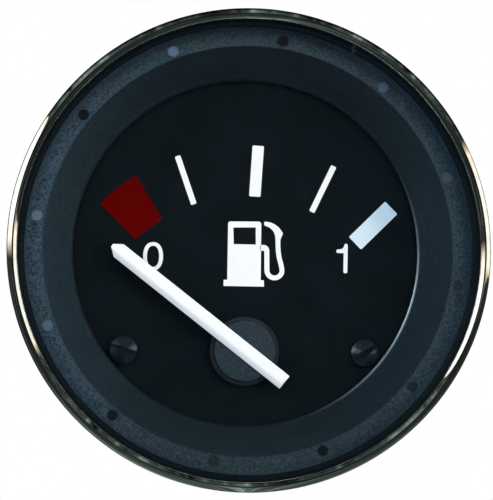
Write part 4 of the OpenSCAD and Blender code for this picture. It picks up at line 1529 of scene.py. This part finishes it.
@dataclass
class Fixings:
    """Studs, nuts, washers and the clamp bracket.

    Its less plain sizes: top_r and top_z are the radius and the end of the stud's pin through the
    board, board_foot is the board's underside, and inside the case's inner back. hex_turned is the
    radius of the nut's turned faces, as a share of half its width across flats.
    """

    stud_x: float = 16.0
    stud_r: float = 2.0
    pitch: float = 0.7
    thread_deep: float = 0.36
    stud_turns: int = 40
    tip_z: float = -61.0
    case_back: float = -38.0
    inside: float = -36.2
    collar_r: float = 3.5
    top_r: float = 1.5
    top_z: float = -22.6
    board_foot: float = -26.8
    edge: float = 0.1
    hex_r: float = 4.04
    hex_turned: float = 0.985
    washer_t: float = 0.8
    nut_h: float = 2.2
    bracket_edge: float = 0.45
    fine_edge: float = 0.08

    def stud(self, x: float) -> Shell:
        """Turned stud with a rolled thread.

        At angle t and height z the thread's radius drops by a triangle wave of z / pitch - t / turn,
        eased in at both ends.

        Args:
            x: Place of the stud's axis.

        Returns:
            The skin.
        """
        t = round_steps(self.stud_turns)
        start, end = self.case_back - 0.2, self.tip_z + 0.1
        steps = int((self.case_back - self.tip_z) / self.pitch * 8)
        z = np.linspace(start, self.tip_z + 0.4, steps)
        wave = (z / self.pitch - t / TAU) % 1
        depth = np.clip(np.abs(wave * 2 - 1) * 1.25 - 0.12, 0, 1)
        ease = smoothstep(start, start - 1, z) * smoothstep(end, end + 0.8, z)
        thread = self.stud_r - self.thread_deep * depth * ease
        head = np.array([
            [0, self.top_z], [self.top_r - 0.15, self.top_z], [self.top_r, self.top_z - 0.15],
            [self.top_r, self.board_foot], [self.collar_r - self.edge, self.board_foot],
            [self.collar_r, self.board_foot - self.edge], [self.collar_r, self.inside + self.edge],
            [self.collar_r - self.edge, self.inside], [self.stud_r, self.inside]])
        tail = np.array([[self.stud_r - 0.4, self.tip_z], [0, self.tip_z]])
        r = np.concatenate([head[None, :, 0] + 0 * t, thread, tail[None, :, 0] + 0 * t], 1)
        h = np.concatenate([head[:, 1], z, tail[:, 1]])
        return grid(upright(t, r, h, (x, 0.0)), wrap_columns=False)

    def hex_nut(self, x: float) -> Shell:
        """Hexagon nut with its corners turned off.

        The hexagon's radius at angle t is a / cos(t - nearest side), and a cone of 30 degrees takes
        its corners off at both faces.

        Args:
            x: Place of the nut's axis.

        Returns:
            The skin.
        """
        sixth = math.pi / 6
        t = np.linspace(0, TAU, 96, endpoint=False)
        flat = self.hex_r * math.cos(sixth)
        r = flat / np.cos(t % (2 * sixth) - sixth)
        circle = np.minimum(r, flat * self.hex_turned)
        drop = (r - circle) * math.tan(sixth)
        top = self.case_back - self.washer_t
        foot = top - self.nut_h
        bore = self.stud_r + 0.02
        rings = ((bore, foot), (bore + 0.15, foot), (circle, foot), (r, foot + drop), (r, top - drop),
                 (circle, top), (bore, top))
        r, h = (np.stack([np.broadcast_to(part, t.shape) for part in parts], 1) for parts in zip(*rings))
        return grid(upright(t[:, None] + sixth, r, h, (x, 0.0)))

    def build(self) -> None:
        """Makes the studs and nuts, and rounds the edges of the pressed pieces."""
        places = (-self.stud_x, self.stud_x)
        piece("threaded_studs", [self.stud(x) for x in places], TURNED_STEEL, ["mounting_studs"])
        piece("hexagon_nuts", [self.hex_nut(x) for x in places], STEEL, ["case_nuts"], sharp=20)
        soften("case_washers", "flat_washers", STEEL, self.edge)
        soften("mounting_bracket", "clamp_bracket", STEEL, self.bracket_edge, Body.BRACKET)
        for side in ("left", "right"):
            soften(f"{side}_spring_washer", f"{side}_split_washer", STEEL, self.fine_edge, Body.BRACKET)
        for side, body in (("left", Body.LEFT_NUT), ("right", Body.RIGHT_NUT)):
            soften(f"{side}_thumb_nut", f"{side}_fluted_nut", NUT_BRASS, self.fine_edge, body)


@dataclass
class Housing:
    """Moulded case, terminals and lamp, by the widths of their rounded edges."""

    case_edge: float = 0.15
    blade_edge: float = 0.08
    holder_edge: float = 0.2
    contact_edge: float = 0.06

    def build(self) -> None:
        """Rounds the edges of the case, the blades and the lamp holder, and dresses the bulb."""
        soften("case", "case_moulding", CASE_PLASTIC, self.case_edge)
        for side in ("supply", "sender", "ground"):
            soften(f"{side}_terminal", f"{side}_blade", BLADE_BRASS, self.blade_edge)
        soften("lamp_holder", "lamp_plug", HOLDER, self.holder_edge, Body.LAMP)
        soften("lamp_contacts", "lamp_contact_pair", BLADE_BRASS, self.contact_edge, Body.LAMP)
        keep(BULB_GLASS, "bulb")
        keep(STEEL, "bulb_filament")


def placed(right: np.ndarray, up: np.ndarray, back: np.ndarray, place: np.ndarray) -> Matrix:
    """Matrix of an object from its three axes and its place.

    Args:
        right: Its axis to the right.
        up: Its axis upwards.
        back: Its axis to the rear.
        place: Its place.

    Returns:
        The matrix.
    """
    matrix = np.eye(4)
    matrix[:3] = np.stack([right, up, back, place], axis=1)
    return Matrix(matrix.tolist())


@dataclass
class Studio:
    """Camera, lamps, reflecting cards, floor and background.

    turn and drop are how far the camera stands to the left of the dial's axis and below it, and roll
    how far it leans, in degrees. Its lens is in millimetres, and all other lengths are in metres.
    sheet_r is the reach of the dim sheet on the floor, sheet_gap its height over it, and under_r the
    reach of its brighter middle. gloom holds the room's least glow, what it rises by, and how much of
    it is lost to the rear. patches are the middle, the spread and the gain of the room's light
    patches, and peach is what the right card is tinted by.
    """

    distance: float = 0.6
    turn: float = 3.5
    drop: float = 3.1
    roll: float = 0.68
    lens: float = 349.5
    aim: tuple[float, float, float] = (-0.000361, -0.0059, -0.000025)
    floor_z: float = -0.034
    floor_r: float = 0.35
    floor_y: float = 0.2
    sheet_r: float = 0.9
    sheet_gap: float = 0.0004
    under_r: float = 0.032
    gloom: tuple[float, float, float] = (0.004, 0.084, 0.93)
    gloom_tint: tuple[float, float, float] = (0.84, 1.05, 0.98)
    patches: tuple[tuple[float, float, float], ...] = (
        (132, 7, 2.6), (191, 9, 3.4), (218, 1.2, 1.6), (268, 11, 1.3), (352, 4, 2.2), (90, 1.5, 1.4),
        (62, 5, 0.5), (300, 9, 0.6))
    card_middle: tuple[float, float, float] = (1, 0.96, 0.93)
    card_side: tuple[float, float, float] = (1, 0.8, 0.62)
    peach: tuple[float, float, float] = (1, 0.965, 0.89)
    soft_light: float = 0.22
    floor_grey: float = 0.82
    floor_glow: float = 0.42

    def camera(self) -> None:
        """Places the camera a little to the left of the dial's axis and below it."""
        az, el, roll = (math.radians(angle) for angle in (self.turn, self.drop, self.roll))
        data = bpy.data.cameras.new("camera")
        data.lens = self.lens
        data.sensor_width = 36
        data.clip_start = 0.01
        back = np.array([-math.sin(az) * math.cos(el), -math.cos(az) * math.cos(el), -math.sin(el)])
        right = np.cross(-back, (0, 0, 1.0))
        right /= np.linalg.norm(right)
        up = np.cross(right, -back)
        c, s = math.cos(roll), math.sin(roll)
        eye = link("camera", data)
        place = np.array(self.aim) + back * self.distance
        eye.matrix_world = placed(c * right + s * up, c * up - s * right, back, place)
        bpy.context.scene.camera = eye

    def patch(self, name: str, low: float, high: float, left: float, right: float, radius: float,
              colours: Callable[[np.ndarray, np.ndarray], np.ndarray]) -> None:
        """Glowing piece of a ball round the gauge, seen only in reflections.

        At angle a from -Y and angle b round the dial, a point stands at
        radius (sin a cos b, -cos a, sin a sin b).

        Args:
            name: Name of the card.
            low: Least angle from -Y, in degrees.
            high: Greatest angle from -Y, in degrees.
            left: First angle round the dial, in degrees.
            right: Last angle round the dial, in degrees.
            radius: Radius of the ball, in metres.
            colours: Glow at each point, from a and from the angle round the ring at which the camera
                finds the point mirrored, both in degrees.
        """
        rows, columns = 61, max(int(abs(right - left) * 2), 60) + 1
        a, b = np.meshgrid(np.linspace(low, high, rows), np.linspace(left, right, columns), indexing="ij")
        p, q = np.radians(a), np.radians(b)
        ball = np.stack([np.sin(p) * np.cos(q), -np.cos(p), np.sin(p) * np.sin(q)], -1)
        side, rise = math.sin(math.radians(self.turn)), math.sin(math.radians(self.drop))
        seen = np.degrees(np.arctan2(ball[..., 2] - rise, ball[..., 0] - side)) % 360
        self.card(name, grid(radius * ball, False, False), colours(a, seen))

    def card(self, name: str, skin: Shell, glow: np.ndarray) -> None:
        """Makes a glowing card that only reflections see.

        Args:
            name: Name of the card.
            skin: Its surface, in frame metres.
            glow: Colour of the glow at each point.
        """
        mesh = bpy.data.meshes.new(name)
        mesh.from_pydata(skin.points.tolist(), [], skin.faces[0].tolist())
        data = mesh.attributes.new("glow", "FLOAT_VECTOR", "POINT").data
        data.foreach_set("vector", glow.astype(np.float32).reshape(-1))
        material = bpy.data.materials.new(name)
        graph = blank(material)
        colour = graph.add("Attribute", attribute_name="glow").outputs["Vector"]
        graph.add("OutputMaterial", {"Surface": graph.add("Emission", {"Color": colour}).outputs[0]})
        mesh.materials.append(material)
        card = link(name, mesh)
        card.visible_camera = card.visible_diffuse = card.visible_shadow = False

    def floor_card(self, room: Callable[[np.ndarray, np.ndarray], np.ndarray]) -> None:
        """Lays a dim sheet just above the floor, for the chrome to mirror in place of the white.

        Args:
            room: Glow of the room at an angle from -Y and an angle round the dial, in degrees.
        """
        out, angles = self.sheet_r * np.linspace(0, 1, 60) ** 3, np.linspace(-180, 180, 721)
        r, b = np.meshgrid(out, angles, indexing="ij")
        x, y = r * np.cos(np.radians(b)), r * np.sin(np.radians(b))
        points = np.stack([x, y, np.full_like(x, self.floor_z + self.sheet_gap)], -1)
        under = 0.3 + 1.1 * np.exp(-((r / self.under_r) ** 2))
        self.card("floor_card", grid(points, False, False), room(np.full_like(r, 60), b) * under[..., None])

    def cards(self) -> None:
        """Makes the dim room in front of the dial, and a bright card on either side."""
        rng = np.random.default_rng(11)
        turns = np.linspace(-180, 540, 961)
        fine = np.abs(rng.normal(size=len(turns))) ** 1.6
        broad = np.convolve(rng.normal(size=len(turns)), np.hanning(13) / 3, "same")
        least, rise, loss = self.gloom

        def streaks(b: np.ndarray) -> np.ndarray:
            """Relative brightness round the room: fine and broad streaks, and a few light patches.

            Args:
                b: Angles round the room, in degrees.

            Returns:
                The brightness at each angle.
            """
            b = (b + 180) % 360 - 180
            gain = 0.35 + 0.6 * np.interp(b, turns, fine) + 0.3 * np.interp(b, turns, broad)
            for middle, half, extra in self.patches:
                away = np.abs((b - middle + 180) % 360 - 180)
                gain = gain + extra * np.exp(-((away / half) ** 2)) * (0.4 + 0.9 * np.interp(b, turns, fine))
            return np.clip(gain, 0.1, 5)

        def room(a: np.ndarray, b: np.ndarray) -> np.ndarray:
            """Grey-green gloom with upright streaks, nearly black round the camera and far to the rear."""
            level = least + rise * smoothstep(8, 20, a) * (1 - loss * smoothstep(64, 92, a))
            return (level * streaks(b))[..., None] * np.array(self.gloom_tint)

        def warm(b: np.ndarray, middle: float, half: float, top: float) -> np.ndarray:
            """Glow of a card that is nearly white in the middle, and peach to the sides.

            Args:
                b: Angles round the dial, in degrees.
                middle: Middle of the card.
                half: Half its width, in degrees.
                top: Brightness of its middle.

            Returns:
                The glow at each angle.
            """
            edge = np.clip(np.abs((b - middle + 180) % 360 - 180) / half, 0, 1)
            level = (top + 0.25 * np.interp(b % 360, turns, fine)) * (1 - smoothstep(0.72, 1, edge)) + 0.05
            tint = smoothstep(0.4, 0.9, edge)[..., None]
            white, side = np.array(self.card_middle), np.array(self.card_side)
            return level[..., None] * ((1 - tint) * white + tint * side)

        self.patch("room_card", 0.5, 176, 0, 360, 1.6, room)
        self.patch("left_card", 11, 116, 143, 183, 1.5, lambda a, b: warm(b, 163, 20, 1.7))
        peach = np.array(self.peach)
        self.patch("right_card", 25, 118, -8, 29, 1.5, lambda a, b: warm(b, 10, 18.5, 1.45) * peach)
        self.floor_card(room)

    def lamps(self) -> None:
        """Adds a large soft lamp on the right, a bluer one on the left and a weaker one in front."""
        for name, place, size, power, colour in (
                ("key_lamp", (1.05, -0.88, 0.2), 0.9, 11.3, (1.06, 1.0, 0.93)),
                ("fill_lamp", (-1.05, -0.88, 0.15), 1.7, 13.9, (0.76, 0.955, 1.13)),
                ("front_lamp", (0.25, -1.2, 0.75), 0.6, 5.7, (1.08, 1.0, 0.95))):
            data = bpy.data.lights.new(name, "AREA")
            data.size = size
            data.energy = power
            data.color = colour
            back = np.array(place) / np.linalg.norm(place)
            side = np.cross(-back, (0, 0, 1.0))
            side /= np.linalg.norm(side)
            lamp = link(name, data)
            lamp.matrix_world = placed(side, np.cross(back, side), back, np.array(place))
            lamp.visible_camera = lamp.visible_glossy = lamp.visible_transmission = False

    def world(self) -> None:
        """White behind everything that is seen or mirrored, and soft grey light on everything else."""
        world = bpy.data.worlds.new("studio")
        bpy.context.scene.world = world
        graph = blank(world)
        soft = graph.add("Background", {"Color": (0.88, 0.97, 1.06, 1), "Strength": self.soft_light})
        white = graph.add("Background", {"Color": (1, 1, 1, 1), "Strength": 1.0})
        both = graph.add("MixShader", {0: graph.looked_at(), 1: soft.outputs[0], 2: white.outputs[0]})
        graph.add("OutputWorld", {"Surface": both.outputs[0]})

    def floor(self) -> None:
        """Lays a round pale floor that shows white and keeps the object's shadow."""
        t = round_steps(96)
        points = upright(t, self.floor_r, self.floor_z, (0.0, self.floor_y))[:, 0]
        mesh = bpy.data.meshes.new("floor")
        mesh.from_pydata(points.tolist(), [], [list(range(len(t)))])
        material = bpy.data.materials.new("floor")
        graph = blank(material)
        grey = self.floor_grey
        matt = graph.add("BsdfDiffuse", {"Color": (grey, grey, grey, 1)})
        glow = graph.add("Emission", {"Strength": graph.math("MULTIPLY", graph.looked_at(), self.floor_glow)})
        both = graph.add("AddShader", {0: matt.outputs[0], 1: glow.outputs[0]})
        graph.add("OutputMaterial", {"Surface": both.outputs[0]})
        mesh.materials.append(material)
        link("floor", mesh)

    def build(self) -> None:
        """Sets the stage."""
        bpy.context.scene.view_settings.view_transform = "Standard"
        self.camera()
        self.world()
        self.floor()
        self.cards()
        self.lamps()


def main() -> None:
    """Builds each sub-assembly, then the stage."""
    logging.basicConfig(level=logging.INFO, format="%(name)s: %(message)s")
    for part in (FrontRing(), Surround(), Dial(), Pointer(), Movement(), Fixings(), Housing(), Studio()):
        log.info("building %s", type(part).__name__)
        part.build()


if __name__ == "__main__":
    main()
